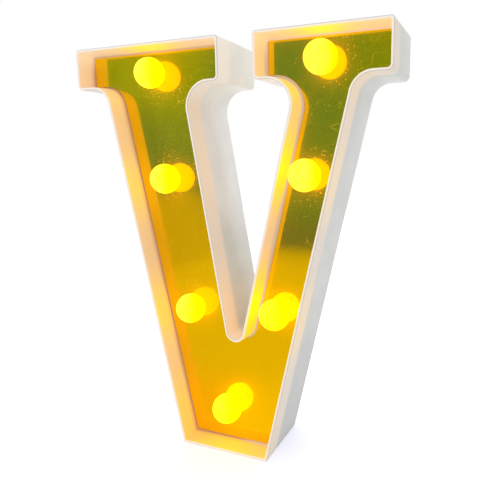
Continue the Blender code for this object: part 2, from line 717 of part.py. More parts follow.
def cover_cuts():
    """What is cut next: door opening, tongue slots, switch window, screw holes and contact slots."""
    bm = bmesh.new()
    door_ledge_y = REAR_Y - DOOR_THICKNESS - CLEARANCE
    opening = around(bay_middle(), BAY_LENGTH + 2.0 * DOOR_LEDGE, BAY_HEIGHT + 2.0 * DOOR_LEDGE)
    add_block(bm, opening, door_ledge_y, REAR_Y + OVERRUN)
    window_length = KNOB_LENGTH + SWITCH_TRAVEL + 2.0 * CLEARANCE
    add_block(bm, around(switch_place(), window_length, KNOB_WIDTH + 2.0 * CLEARANCE),
              WELL_FLOOR_Y - OVERRUN / 2.0, REAR_Y - WELL_DEPTH + OVERRUN / 2.0)
    for place in screw_places():
        add_rod(bm, SCREW_SHANK_RADIUS + CLEARANCE, place, CUP_FRONT_Y - OVERRUN,
                REAR_Y - CUP_DEPTH + OVERRUN / 2.0, SMALL_SIDES)
    for z in (LOWER_CELL_Z, UPPER_CELL_Z):
        tab = Vector((left_contact_x(), z))
        slot = around(tab, CONTACT_THICKNESS + 2.0 * CLEARANCE, TAB_WIDTH + 2.0 * CLEARANCE)
        add_block(bm, slot, BAY_FLOOR_Y - BAY_WALL - OVERRUN, BAY_FLOOR_Y + OVERRUN / 2.0)
    return bm


def keyhole_cuts():
    """The two keyholes, right through the plate."""
    bm = bmesh.new()
    for place in keyhole_places():
        outline = keyhole_outline(place)
        depths = (COVER_FRONT_Y - OVERRUN, REAR_Y + OVERRUN)
        add_loft(bm, [[(point.x, y, point.y) for point in outline] for y in depths])
    return bm


def tongue_cuts():
    """Notches in the ledge that the door's tongues drop into."""
    bm = bmesh.new()
    near_y = REAR_Y - DOOR_THICKNESS - TONGUE_REACH - CLEARANCE
    far_y = REAR_Y - DOOR_THICKNESS / 2.0
    for place in tongue_places():
        middle = place + Vector((0.0, DOOR_LEDGE + CLEARANCE / 2.0))
        notch = around(middle, TONGUE_WIDTH + 2.0 * CLEARANCE, 2.0 * DOOR_LEDGE - CLEARANCE)
        add_block(bm, notch, near_y, far_y)
    return bm


def left_contact_x():
    return BAY_LEFT_X + CONTACT_GAP + CONTACT_THICKNESS / 2.0


def right_contact_x():
    return BAY_RIGHT_X - CONTACT_GAP - CONTACT_THICKNESS / 2.0


def back_cover():
    """The inset back plate with its battery bay, switch well, screw cups and keyholes."""
    bm = bmesh.new()
    swept_body(bm, ((COVER_INSET, COVER_FRONT_Y), (COVER_INSET, REAR_Y - EDGE_BREAK),
                    (COVER_INSET + EDGE_BREAK, REAR_Y)))
    cover = body_object("back_cover", bm, white_plastic())
    combine(cover, cutter_object("cover_additions", cover_additions()), 'UNION')
    combine(cover, cutter_object("cover_pockets", cover_pockets()), 'DIFFERENCE')
    combine(cover, cutter_object("cover_cuts", cover_cuts()), 'DIFFERENCE')
    combine(cover, cutter_object("keyhole_cuts", keyhole_cuts()), 'DIFFERENCE')
    combine(cover, cutter_object("tongue_cuts", tongue_cuts()), 'DIFFERENCE')
    divider = bmesh.new()
    add_block(divider, around(bay_middle(), BAY_LENGTH / 2.0, DIVIDER_THICKNESS),
              BAY_FLOOR_Y - BAY_WALL / 2.0, BAY_FLOOR_Y + DIVIDER_HEIGHT)
    combine(cover, cutter_object("bay_divider", divider), 'UNION')


def battery_door():
    """The flush door: plate, tongues, and a latch leaf with grip ribs between two slits."""
    door_length = BAY_LENGTH + 2.0 * (DOOR_LEDGE - CLEARANCE)
    door_height = BAY_HEIGHT + 2.0 * (DOOR_LEDGE - CLEARANCE)
    middle = bay_middle()
    inner_y = REAR_Y - DOOR_THICKNESS
    bm = bmesh.new()
    add_block(bm, around(Vector((0.0, 0.0)), door_length, door_height), inner_y - REAR_Y, 0.0)
    door = body_object("battery_door", bm, white_plastic())
    door.location = (middle.x, REAR_Y, middle.y)

    tongues = bmesh.new()
    for place in tongue_places():
        tongue = place - middle + Vector((0.0, DOOR_LEDGE + CLEARANCE / 2.0))
        add_block(tongues, around(tongue, TONGUE_WIDTH, 2.0 * DOOR_LEDGE - 3.0 * CLEARANCE),
                  inner_y - TONGUE_REACH - REAR_Y, inner_y + DOOR_THICKNESS / 2.0 - REAR_Y)
    tool = cutter_object("door_tongues", tongues)
    tool.location = door.location
    combine(door, tool, 'UNION')

    top = door_height / 2.0
    slits = bmesh.new()
    for side in (-1.0, 1.0):
        slit = Vector((side * (LATCH_WIDTH + LATCH_SLIT) / 2.0, top + (OVERRUN - LATCH_LENGTH) / 2.0))
        add_block(slits, around(slit, LATCH_SLIT, LATCH_LENGTH + OVERRUN), inner_y - REAR_Y - OVERRUN,
                  OVERRUN)
    for index in range(GRIP_RIB_COUNT):
        groove = Vector((0.0, top - LATCH_LENGTH * (index + 1) / (GRIP_RIB_COUNT + 1)))
        add_block(slits, around(groove, LATCH_WIDTH - 2.0 * GRIP_RIB_THICKNESS, GRIP_RIB_THICKNESS),
                  -GRIP_RIB_HEIGHT, OVERRUN)
    tool = cutter_object("door_slits", slits)
    tool.location = door.location
    combine(door, tool, 'DIFFERENCE')


def cell_profile():
    """A cell from its nub to its flat end; z = 0 is the middle of the can."""
    half = CELL_LENGTH / 2.0
    return [(0.0, half + CELL_NUB_LENGTH), (CELL_NUB_RADIUS, half + CELL_NUB_LENGTH), (CELL_NUB_RADIUS, half),
            (CELL_RADIUS - CELL_SHOULDER, half), (CELL_RADIUS, half - CELL_SHOULDER),
            (CELL_RADIUS, CELL_SHOULDER - half), (CELL_RADIUS - CELL_SHOULDER, -half), (0.0, -half)]


def batteries():
    """Two cells side by side, head to tail."""
    end_room = CONTACT_GAP + CONTACT_THICKNESS + CLEARANCE
    upper_x = BAY_RIGHT_X - end_room - CELL_NUB_LENGTH - CELL_LENGTH / 2.0
    lower_x = BAY_LEFT_X + end_room + CELL_NUB_LENGTH + CELL_LENGTH / 2.0
    for name, place, way in (("battery_upper", (upper_x, CELL_Y, UPPER_CELL_Z), FACING_RIGHT),
                             ("battery_lower", (lower_x, CELL_Y, LOWER_CELL_Z), FACING_LEFT)):
        turned(name, cell_profile(), cell_wrap(), place, way, TURNED_SIDES)


def contact(name, x, z_low, z_high, tab_z=None):
    """A contact plate across one end of the bay, with a solder tab through the bay's floor."""
    half = CONTACT_THICKNESS / 2.0
    half_width = CONTACT_WIDTH / 2.0
    bm = bmesh.new()
    add_box(bm, (x - half, CELL_Y - half_width, z_low), (x + half, CELL_Y + half_width, z_high))
    plate = body_object(name, bm, bright_metal())
    if tab_z is not None:
        tab = bmesh.new()
        add_box(tab, (x - half, WIRE_Y - TAB_WIDTH / 2.0, tab_z - TAB_WIDTH / 2.0),
                (x + half, CELL_Y, tab_z + TAB_WIDTH / 2.0))
        combine(plate, cutter_object(f"{name}_tab", tab), 'UNION')


def contacts():
    """Two single contacts at the left end and one bridge across both cells at the right end."""
    half = CONTACT_HEIGHT / 2.0
    contact("contact_negative", left_contact_x(), UPPER_CELL_Z - half, UPPER_CELL_Z + half, UPPER_CELL_Z)
    contact("contact_positive", left_contact_x(), LOWER_CELL_Z - half, LOWER_CELL_Z + half, LOWER_CELL_Z)
    contact("contact_bridge", right_contact_x(), LOWER_CELL_Z - half, UPPER_CELL_Z + half)


def poly_curve(name, points, radius, resolution):
    """A curve object through points, with a round section and filled caps."""
    curve = bpy.data.curves.new(name, 'CURVE')
    curve.dimensions = '3D'
    curve.bevel_depth = radius
    curve.bevel_resolution = resolution
    curve.use_fill_caps = True
    spline = curve.splines.new('POLY')
    spline.points.add(len(points) - 1)
    for slot, point in zip(spline.points, points):
        slot.co = (*point, 1.0)
    made = bpy.data.objects.new(name, curve)
    parts.objects.link(made)
    return made


def spring_points(tip_x, base_x, z):
    """A conical coil between its tip, which presses on the cell, and its base on the contact."""
    count = SPRING_CURLS * SPRING_POINTS_PER_CURL
    points = []
    for index in range(count + 1):
        share = index / count
        radius = SPRING_TIP_RADIUS + share * (SPRING_BASE_RADIUS - SPRING_TIP_RADIUS)
        angle = 2.0 * math.pi * index / SPRING_POINTS_PER_CURL
        x = tip_x + share * (base_x - tip_x)
        points.append(Vector((x, CELL_Y + radius * math.cos(angle), z + radius * math.sin(angle))))
    return points


def least_coil_gap(points, wire_radius, points_per_curl):
    """The least clear distance between one curl of a coil and the next."""
    least = math.inf
    for index, point in enumerate(points):
        for other in points[index + points_per_curl // 2:]:
            least = min(least, (point - other).length - 2.0 * wire_radius)
    return least


def springs():
    """A conical spring at each cell's flat end."""
    reach = CONTACT_GAP + CONTACT_THICKNESS + CLEARANCE + SPRING_WIRE_RADIUS
    tip = reach + SPRING_LENGTH - 2.0 * SPRING_WIRE_RADIUS
    gaps = []
    for name, wall_x, way, z in (("spring_upper", BAY_LEFT_X, 1.0, UPPER_CELL_Z),
                                 ("spring_lower", BAY_RIGHT_X, -1.0, LOWER_CELL_Z)):
        points = spring_points(wall_x + way * tip, wall_x + way * reach, z)
        coil = poly_curve(name, points, SPRING_WIRE_RADIUS, 1)
        coil.data.materials.append(bright_metal())
        gaps.append(least_coil_gap(points, SPRING_WIRE_RADIUS, SPRING_POINTS_PER_CURL))
    print(f"least spring gap {min(gaps) / MM:.2f} mm")


def switch_body():
    """The switch housing in its pocket: a channel for the slider behind, three pins in front."""
    place = switch_place()
    front_y = SWITCH_TOP_Y - SWITCH_BODY_HEIGHT
    bm = bmesh.new()
    add_block(bm, around(place, SWITCH_LENGTH, SWITCH_WIDTH), front_y, SWITCH_TOP_Y)
    housing = body_object("switch_body", bm, bright_metal())
    channel = bmesh.new()
    add_block(channel, around(place, CHANNEL_LENGTH, CHANNEL_WIDTH), SWITCH_TOP_Y - CHANNEL_DEPTH,
              SWITCH_TOP_Y + OVERRUN)
    combine(housing, cutter_object("switch_channel", channel), 'DIFFERENCE')
    pins = bmesh.new()
    for index in (-1, 0, 1):
        pin = place + Vector((index * SWITCH_PIN_PITCH, 0.0))
        add_block(pins, around(pin, SWITCH_PIN_SIZE, SWITCH_PIN_SIZE), front_y - SWITCH_PIN_LENGTH,
                  front_y + SWITCH_WALL)
    combine(housing, cutter_object("switch_pins", pins), 'UNION')


def switch_slider():
    """The slider in its ON place: foot in the channel and grooved knob through the window."""
    on_x = SWITCH_X + SWITCH_TRAVEL / 2.0
    foot_far_y = SWITCH_TOP_Y - CLEARANCE / 2.0
    here = Vector((0.0, 0.0))
    bm = bmesh.new()
    add_block(bm, around(here, SLIDER_FOOT_LENGTH, SLIDER_FOOT_WIDTH), -SLIDER_FOOT_HEIGHT, 0.0)
    slider = body_object("switch_slider", bm, black_plastic())
    slider.location = (on_x, foot_far_y, SWITCH_Z)
    knob = bmesh.new()
    knob_top = REAR_Y - CLEARANCE - foot_far_y
    add_block(knob, around(here, KNOB_LENGTH, KNOB_WIDTH), -SLIDER_FOOT_HEIGHT / 2.0, knob_top)
    tool = cutter_object("slider_knob", knob)
    tool.location = slider.location
    combine(slider, tool, 'UNION')
    grooves = bmesh.new()
    for index in (-1, 0, 1):
        groove = Vector((index * 2.0 * KNOB_GROOVE, 0.0))
        add_block(grooves, around(groove, KNOB_GROOVE, KNOB_WIDTH + OVERRUN), knob_top - KNOB_GROOVE,
                  knob_top + OVERRUN)
    tool = cutter_object("slider_grooves", grooves)
    tool.location = slider.location
    combine(slider, tool, 'DIFFERENCE')


def screw_profile():
    """A pan-head screw from its head down; z = 0 is the head's underside."""
    return [(0.0, SCREW_HEAD_HEIGHT), (SCREW_HEAD_RADIUS * HEAD_CROWN_SHARE, SCREW_HEAD_HEIGHT),
            (SCREW_HEAD_RADIUS, SCREW_HEAD_HEIGHT / 2.0), (SCREW_HEAD_RADIUS, 0.0), (SCREW_SHANK_RADIUS, 0.0),
            (SCREW_SHANK_RADIUS, -SCREW_LENGTH), (0.0, -SCREW_LENGTH)]


def cover_screws():
    """The cover's screws, each with its head in its cup."""
    under_y = REAR_Y - CUP_DEPTH + CLEARANCE
    for number, place in enumerate(screw_places(), start=1):
        turned(f"cover_screw_{number}", screw_profile(), bright_metal(), (place.x, under_y, place.y),
               FACING_BACK, SMALL_SIDES)


def wire_reach():
    """Distance from an LED's middle to the wire that passes its leg."""
    return LEG_PITCH / 2.0 + LEG_SIZE / 2.0 + CLEARANCE + WIRE_RADIUS


def positive_route():
    """Past every positive leg: down the outer side, round under the foot's LED, and up again."""
    places = bulb_places()
    foot_index = len(LEFT_BULB_SHARES)
    reach = wire_reach()
    route = [place + Vector((-reach, 0.0)) for place in places[:foot_index]]
    foot = places[foot_index]
    for index in range(WIRE_TURN_STEPS + 1):
        angle = WIRE_TURN_START + (WIRE_TURN_END - WIRE_TURN_START) * index / WIRE_TURN_STEPS
        route.append(foot + reach * Vector((math.cos(angle), math.sin(angle))))
    route += [place + Vector((reach, 0.0)) for place in places[foot_index + 1:]]
    return route


def negative_route():
    """Past every negative leg: down the inner side, over the foot's LED, and up again."""
    places = bulb_places()
    foot_index = len(LEFT_BULB_SHARES)
    reach = wire_reach()
    route = [place + Vector((reach, 0.0)) for place in places[:foot_index]]
    route.append(places[foot_index] + Vector((0.0, reach)))
    route += [place + Vector((-reach, 0.0)) for place in places[foot_index + 1:]]
    return route


def between(near, far, z):
    """The x of a straight run of wire at a height."""
    share = (near.y - z) / (near.y - far.y)
    return near.x + share * (far.x - near.x)


def lead_battery_route(lead_y):
    """From the negative contact's tab up to the switch's first pin."""
    pin_x = SWITCH_X - SWITCH_PIN_PITCH
    tab_side_x = left_contact_x() + CONTACT_THICKNESS / 2.0 + CLEARANCE + WIRE_RADIUS
    return [(tab_side_x, WIRE_Y, UPPER_CELL_Z), (tab_side_x, WIRE_Y, BAY_TOP_Z + BAY_WALL),
            (pin_x, lead_y, SWITCH_Z - SWITCH_WIDTH / 2.0), (pin_x, lead_y, SWITCH_Z)]


def lead_switch_route(lead_y):
    """From the switch's middle pin up to the negative wire in the left stroke."""
    joint_z = SWITCH_Z + SWITCH_LEAD_RISE
    upper, lower = negative_route()[len(LEFT_BULB_SHARES) - 2:len(LEFT_BULB_SHARES)]
    joint_x = between(upper, lower, joint_z) + 2.0 * WIRE_RADIUS + CLEARANCE
    return [(SWITCH_X, lead_y, SWITCH_Z), (SWITCH_X, lead_y, SWITCH_Z + SWITCH_WIDTH / 2.0),
            (joint_x, WIRE_Y, joint_z)]


def wire(name, points, colour):
    """An insulated wire through points."""
    made = poly_curve(name, points, WIRE_RADIUS, 1)
    made.data.materials.append(colour)


def wiring():
    """The two wires that feed every LED, and the two leads of the switch."""
    red = material("red_wire", (0.60, 0.03, 0.03), 0.5)
    black = material("black_wire", (0.03, 0.03, 0.03), 0.5)
    wire("wire_positive", [(point.x, WIRE_Y, point.y) for point in positive_route()], red)
    wire("wire_negative", [(point.x, WIRE_Y, point.y) for point in negative_route()], black)
    pin_end_y = SWITCH_TOP_Y - SWITCH_BODY_HEIGHT - SWITCH_PIN_LENGTH
    lead_y = pin_end_y - CLEARANCE - WIRE_RADIUS
    wire("lead_battery", lead_battery_route(lead_y), black)
    wire("lead_switch", lead_switch_route(lead_y), black)


def resistor():
    """The dropping resistor between the positive contact's tab and the positive wire."""
    upper, lower = positive_route()[len(LEFT_BULB_SHARES) - 1:len(LEFT_BULB_SHARES) + 1]
    start_x = left_contact_x() + CONTACT_THICKNESS / 2.0 + CLEARANCE
    end_x = between(upper, lower, LOWER_CELL_Z) - 2.0 * WIRE_RADIUS
    half_span = (end_x - start_x) / 2.0
    half_body = RESISTOR_LENGTH / 2.0
    shoulder = half_body * RESISTOR_END_SHARE
    waist_end = half_body * WAIST_LENGTH_SHARE
    waist = RESISTOR_RADIUS * WAIST_RADIUS_SHARE
    profile = [(0.0, half_span), (RESISTOR_LEAD_RADIUS, half_span), (RESISTOR_LEAD_RADIUS, half_body),
               (RESISTOR_RADIUS, half_body), (RESISTOR_RADIUS, shoulder), (waist, waist_end),
               (waist, -waist_end), (RESISTOR_RADIUS, -shoulder), (RESISTOR_RADIUS, -half_body),
               (RESISTOR_LEAD_RADIUS, -half_body), (RESISTOR_LEAD_RADIUS, -half_span), (0.0, -half_span)]
    turned("resistor", profile, material("resistor_tan", (0.70, 0.55, 0.35), 0.6),
           ((start_x + end_x) / 2.0, WIRE_Y, LOWER_CELL_Z), FACING_RIGHT, SMALL_SIDES)


parts, cutters = start_collections()
letter_shell()
mirror_plate()
bulb_globes()
leds()
back_cover()
battery_door()
batteries()
contacts()
springs()
switch_body()
switch_slider()
cover_screws()
wiring()
resistor()
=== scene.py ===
"""Looks of the LED letter light: casing, gold mirror, lit globes, screws, floor, lamps and camera.

The frame is in metres; lengths below are in millimetres times MM. The front faces -Y.
"""

import math

import bmesh
import bpy
from mathutils import Matrix, Vector

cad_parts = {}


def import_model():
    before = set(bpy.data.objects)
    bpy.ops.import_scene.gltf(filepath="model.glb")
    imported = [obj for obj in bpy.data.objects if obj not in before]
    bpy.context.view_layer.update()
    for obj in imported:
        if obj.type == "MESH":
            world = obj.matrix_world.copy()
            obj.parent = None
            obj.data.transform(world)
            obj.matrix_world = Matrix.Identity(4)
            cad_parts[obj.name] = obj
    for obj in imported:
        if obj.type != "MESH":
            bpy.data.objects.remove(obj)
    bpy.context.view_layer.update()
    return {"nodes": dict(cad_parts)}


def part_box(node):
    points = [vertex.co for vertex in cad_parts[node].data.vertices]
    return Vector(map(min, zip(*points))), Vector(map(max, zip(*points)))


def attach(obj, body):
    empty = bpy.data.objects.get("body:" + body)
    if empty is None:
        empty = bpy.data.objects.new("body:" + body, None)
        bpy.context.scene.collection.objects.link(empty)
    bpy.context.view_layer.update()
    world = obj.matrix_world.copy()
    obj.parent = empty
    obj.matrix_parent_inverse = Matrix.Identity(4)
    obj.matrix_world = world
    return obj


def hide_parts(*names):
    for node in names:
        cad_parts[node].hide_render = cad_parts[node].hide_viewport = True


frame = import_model()

MM = 0.001

# Letter outline, as the casing's CAD has it
LETTER_HEIGHT = 220.0 * MM
LEFT_SERIF_WIDTH = 89.8 * MM
RIGHT_SERIF_WIDTH = 67.4 * MM
LEFT_SERIF_HEIGHT = 21.7 * MM
RIGHT_SERIF_HEIGHT = 22.6 * MM
FOOT_OFFSET = 61.3 * MM
FOOT_WIDTH = 51.8 * MM
LEFT_STROKE_TOP_OFFSET = 14.2 * MM
LEFT_STROKE_TOP_WIDTH = 51.6 * MM
RIGHT_STROKE_TOP_OFFSET = 11.5 * MM
RIGHT_STROKE_TOP_WIDTH = 28.3 * MM
TOP_CORNER_RADIUS = 1.5 * MM
LOW_CORNER_RADIUS = 3.0 * MM
OUTER_BRACKET_RADIUS = 10.0 * MM
INNER_BRACKET_RADIUS = 12.0 * MM
NOTCH_RADIUS = 4.4 * MM
NOTCH_OFFSET = 34.6 * MM
NOTCH_HEIGHT = 65.7 * MM
FOOT_CORNER_RADIUS = 0.5 * MM
SHARPEST_CORNER = 0.35 * MM
ARC_TOLERANCE = 0.008 * MM

# Casing section
RIM_THICKNESS = 1.3 * MM
WALL_THICKNESS = 1.9 * MM
REBATE_WALL = 1.1 * MM
WEB_THICKNESS = 1.6 * MM
EDGE_BREAK = 0.35 * MM
COVER_THICKNESS = 2.2 * MM
CLEARANCE = 0.3 * MM
ROUND_STEPS = 4
FLOOR_FILLET = 0.6 * MM
SHARP_ANGLE = math.radians(35.0)
NECK_HOLE_SIDES = 48
WALL_SHARES = (0.25, 0.5, 0.75)

# Globes
GLOBE_RADIUS = 8.27 * MM
GLOBE_SKIN = 0.22 * MM
GLOBE_WALL = 1.2 * MM
NECK_RADIUS = 4.1 * MM
NECK_WALL = 0.9 * MM
GLOBE_SIDES = 72
GLOBE_RINGS = 36
GLOBE_COUNT = 7
BRIGHT_GLOBES = (4, 5)
# Globes whose painted highlight on the left is stronger
HIGHLIGHT_GLOBES = (6, 7)

# Cover screws
SCREW_COUNT = 6
SCREW_HEAD_HEIGHT = 1.7 * MM
SCREW_CORE_RADIUS = 0.95 * MM
SCREW_THREAD_RADIUS = 1.25 * MM
SCREW_THREAD_PITCH = 1.0 * MM
SCREW_SIDES = 40

# Crown of a screw's head: share of the head's radius and share of its height
SCREW_CROWN = ((0.45, 0.99), (0.74, 0.92), (0.91, 0.75), (1.0, 0.47))

# A lathe's ring with a smaller radius is one point
AXIS_RADIUS = 0.03 * MM

# Degrees that screw number n is turned: a start and n steps
SCREW_TURN_START = 17.0
SCREW_TURN_STEP = 31.0

# Rings of the cross recess: height over the head, reach of an arm and half its width
RECESS_RINGS = ((0.2 * MM, 1.55 * MM, 0.36 * MM), (-1.05 * MM, 0.75 * MM, 0.22 * MM))

# Depth stations, from the frame
mirror_low, mirror_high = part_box("mirror_plate")
shell_low, shell_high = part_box("letter_shell")
FRONT_Y = shell_low.y
REAR_Y = shell_high.y
MIRROR_Y = mirror_low.y
WEB_FRONT_Y = mirror_high.y + CLEARANCE
WEB_BACK_Y = WEB_FRONT_Y + WEB_THICKNESS
LEDGE_Y = REAR_Y - COVER_THICKNESS - CLEARANCE
LEFT_X = shell_low.x
RIGHT_X = shell_high.x
FOOT_LEFT_X = LEFT_X + FOOT_OFFSET
FOOT_RIGHT_X = FOOT_LEFT_X + FOOT_WIDTH


def globe_centre(number):
    """Middle of a globe, from its CAD node's box."""
    low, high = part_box(f"bulb_globe_{number}")
    return Vector(((low.x + high.x) / 2.0, low.y + GLOBE_RADIUS, (low.z + high.z) / 2.0))


GLOBE_CENTRES = [globe_centre(number) for number in range(1, GLOBE_COUNT + 1)]


# Node helpers

def srgb(red, green, blue):
    """A shader colour from an 8-bit display colour."""
    linear = []
    for value in (red, green, blue):
        share = value / 255.0
        linear.append(share / 12.92 if share <= 0.04045 else ((share + 0.055) / 1.055) ** 2.4)
    return tuple(linear)


class Graph:
    """Short calls for building one material's or world's nodes."""

    def __init__(self, tree):
        self.tree = tree

    def node(self, kind, **settings):
        made = self.tree.nodes.new(kind)
        for name, value in settings.items():
            setattr(made, name, value)
        return made

    def feed(self, socket, value):
        if isinstance(value, bpy.types.NodeSocket):
            self.tree.links.new(value, socket)
        elif isinstance(value, (tuple, list)) and len(value) == 3 and socket.type == 'RGBA':
            socket.default_value = (*value, 1.0)
        else:
            socket.default_value = value

    def math(self, operation, first, second=None):
        made = self.node('ShaderNodeMath', operation=operation)
        for socket, value in zip(made.inputs, (first, second)):
            if value is not None:
                self.feed(socket, value)
        return made.outputs[0]

    def ramp(self, value, start, end, low=0.0, high=1.0):
        """Smooth step of a value between two places."""
        made = self.node('ShaderNodeMapRange', interpolation_type='SMOOTHSTEP')
        for socket, item in zip(made.inputs[:5], (value, start, end, low, high)):
            self.feed(socket, item)
        return made.outputs[0]

    def mix(self, share, first, second):
        """Colour mix."""
        made = self.node('ShaderNodeMix', data_type='RGBA')
        self.feed(made.inputs['Factor'], share)
        self.feed(made.inputs[6], first)
        self.feed(made.inputs[7], second)
        return made.outputs[2]

    def place(self):
        """Object coordinates, which are the row frame's in metres."""
        return self.node('ShaderNodeTexCoord').outputs['Object']

    def axes(self):
        made = self.node('ShaderNodeSeparateXYZ')
        self.feed(made.inputs[0], self.place())
        return made.outputs

    def distance(self, point):
        made = self.node('ShaderNodeVectorMath', operation='DISTANCE')
        self.feed(made.inputs[0], self.place())
        made.inputs[1].default_value = point
        return made.outputs['Value']

    def noise(self, scale, detail=3.0):
        made = self.node('ShaderNodeTexNoise')
        self.feed(made.inputs['Vector'], self.place())
        made.inputs['Scale'].default_value = scale
        made.inputs['Detail'].default_value = detail
        return made.outputs['Fac']

    def bump(self, height, strength, distance):
        made = self.node('ShaderNodeBump')
        self.feed(made.inputs['Height'], height)
        made.inputs['Strength'].default_value = strength
        made.inputs['Distance'].default_value = distance
        return made.outputs[0]


def principled(name):
    """A fresh material with its graph and its Principled shader."""
    made = bpy.data.materials.new(name)
    made.use_nodes = True
    return made, Graph(made.node_tree), made.node_tree.nodes["Principled BSDF"]


def globe_glow(graph, reach, bright_reach=None):
    """Nearness to the lit globes, the mask of the painted light round them: 1 at a globe's skin, falling off
    over a reach, or over another reach for the bright globes."""
    total = None
    for number, centre in enumerate(GLOBE_CENTRES, 1):
        length = bright_reach if bright_reach and number in BRIGHT_GLOBES else reach
        away = graph.math('SUBTRACT', graph.distance(centre), GLOBE_RADIUS)
        share = graph.math('POWER', graph.math('DIVIDE', away, length), 2.0)
        fall = graph.math('EXPONENT', graph.math('MULTIPLY', share, -1.0))
        total = fall if total is None else graph.math('ADD', total, fall)
    return graph.math('MINIMUM', total, 1.0)


# Casing materials

NOISE_SPAN = (0.3, 0.7)
# Outer wall: grey, greyer lower down as painted shade, and a warm front band that is a painted glow of the
# tray's light
WALL_GREY = srgb(222, 222, 217)
WALL_LOW_SHADE = srgb(210, 210, 207)
WALL_BAND_FAR = srgb(222, 214, 206)
WALL_BAND_NEAR = srgb(252, 226, 188)
# Notch wall: painted shade, darkest about halfway up; painted light from the globes at the bottom and in the
# front band
NOTCH_LOW_GLOW = srgb(219, 207, 188)
NOTCH_MIDDLE_SHADE = srgb(205, 203, 194)
NOTCH_HIGH = srgb(224, 218, 211)
NOTCH_REAR = srgb(233, 234, 232)
NOTCH_BAND = srgb(225, 210, 193)
NOTCH_BAND_LIT = srgb(251, 221, 184)
SERIF_TIP = srgb(242, 233, 222)
SERIF_TIP_REAR = srgb(234, 231, 222)
# Tray wall: these colours paint light and shade. The far, middle and near colours are painted light from the
# globes, the low ones deepen the wall low down against the light from above, the overhead ones are paler,
# and the gap colours are painted shade at the wall's foot and in the gap beside the mirror
TRAY_FAR = srgb(238, 210, 177)
TRAY_FAR_RIGHT = srgb(236, 212, 192)
TRAY_SERIF = srgb(243, 217, 186)
TRAY_MIDDLE = srgb(252, 221, 170)
TRAY_LOW = srgb(250, 208, 128)
TRAY_NEAR = srgb(255, 237, 36)
TRAY_NEAR_LOW = srgb(255, 228, 5)
TOP_FAR = srgb(249, 231, 208)
TOP_MIDDLE = srgb(252, 230, 203)
TOP_NEAR = srgb(254, 240, 100)
TOP_FAR_RIGHT = srgb(252, 228, 190)
TOP_MIDDLE_RIGHT = srgb(252, 234, 190)
TOP_NEAR_RIGHT = srgb(252, 246, 60)
TRAY_GAP_SHADE = srgb(204, 165, 128)
TOP_GAP_SHADE = srgb(226, 208, 180)
GAP_SHADE_RIGHT = srgb(204, 190, 172)
# Rim: near white, warmer near the globes as a painted glow
RIM_WHITE = srgb(246, 236, 228)
RIM_GLOW = srgb(250, 240, 208)
# Outer edge of the rim: greyed as painted shade that outlines the letter
EDGE_SHADE = srgb(226, 217, 212)
EDGE_TOP_SHADE = srgb(204, 206, 210)
REAR_WHITE = srgb(226, 224, 218)
COVER_WHITE = srgb(228, 226, 220)
BAND_START_Y = MIRROR_Y - 2.0 * MM
BAND_END_Y = WEB_BACK_Y + 2.0 * MM
NOTCH_BAND_END_Y = BAND_END_Y - 2.0 * MM

# How far the globes' painted light reaches on each surface
WALL_REACH = 21.0 * MM
NOTCH_REACH = 22.0 * MM
TRAY_REACH = 14.5 * MM
TRAY_BRIGHT_REACH = 17.5 * MM
RIM_REACH = 16.0 * MM
HALO_REACH = 6.0 * MM

# How strongly a surface glows by itself, as painted light from the globes
WALL_LIGHT = (0.02, 0.14)
NOTCH_LIGHT = (0.12, 0.16)
TRAY_LIGHT = (0.24, 0.44)
RIM_LIGHT = 0.18
EDGE_LIGHT = 0.04

# Scales of the noises, bumps (strength and depth), roughnesses and ranges of shares
GRAIN_SCALE = 2600.0
GRAIN_BUMP = (0.12, 0.02 * MM)
SPARK_SCALE = 1400.0
SPARK_BUMP = (0.35, 0.05 * MM)
MOTTLE_SCALE = 55.0
MOTTLE_LEVELS = (0.96, 1.03)
WEAR_PATCH_SCALE = 40.0
WEAR_DARKNESS = 0.94
WALL_ROUGHNESS = 0.42
RIM_ROUGHNESS = 0.35
BACK_ROUGHNESS = 0.5
PLASTIC_SPECULAR = 0.35
NOTCH_COOL_SHARES = (0.15, 0.8)
TOP_POWERS = (1.3, 3.0)
SHADE_CLEARING = (0.3, 1.0)
SHADE_SHARES = (0.65, 0.2)

# Heights and places over which one colour turns into the next
WALL_SHADE_Z = (50.0 * MM, 80.0 * MM)
NOTCH_TIP_Z = (186.0 * MM, 200.0 * MM)
NOTCH_LOW_GLOW_Z = (84.0 * MM, 110.0 * MM)
NOTCH_HIGH_Z = (116.0 * MM, 142.0 * MM)
NOTCH_COOL_Z = (80.0 * MM, 150.0 * MM)
NOTCH_COOL_Y = (0.0, 15.0 * MM)
RIGHT_HALF_X = (0.0, 12.0 * MM)
TRAY_SERIF_Z = (183.0 * MM, 197.0 * MM)
TRAY_LOW_Z = (4.0 * MM, 60.0 * MM)
TRAY_NEAR_Z = (90.0 * MM, 145.0 * MM)
OVERHEAD_Z = (LETTER_HEIGHT - 12.0 * MM, LETTER_HEIGHT - 2.4 * MM)
OVERHEAD_EDGE_Z = (LETTER_HEIGHT - 1.2 * MM, LETTER_HEIGHT - 0.6 * MM)
TRAY_SHADE_Y = (MIRROR_Y - 3.2 * MM, MIRROR_Y)
TRAY_GAP_Y = (MIRROR_Y - 0.2 * MM, MIRROR_Y + 0.1 * MM)


def plastic_finish(graph, shader, roughness=WALL_ROUGHNESS):
    """Satin moulded plastic with a very fine grain."""
    shader.inputs['Roughness'].default_value = roughness
    shader.inputs['Specular IOR Level'].default_value = PLASTIC_SPECULAR
    graph.feed(shader.inputs['Normal'], graph.bump(graph.noise(GRAIN_SCALE, 2.0), *GRAIN_BUMP))


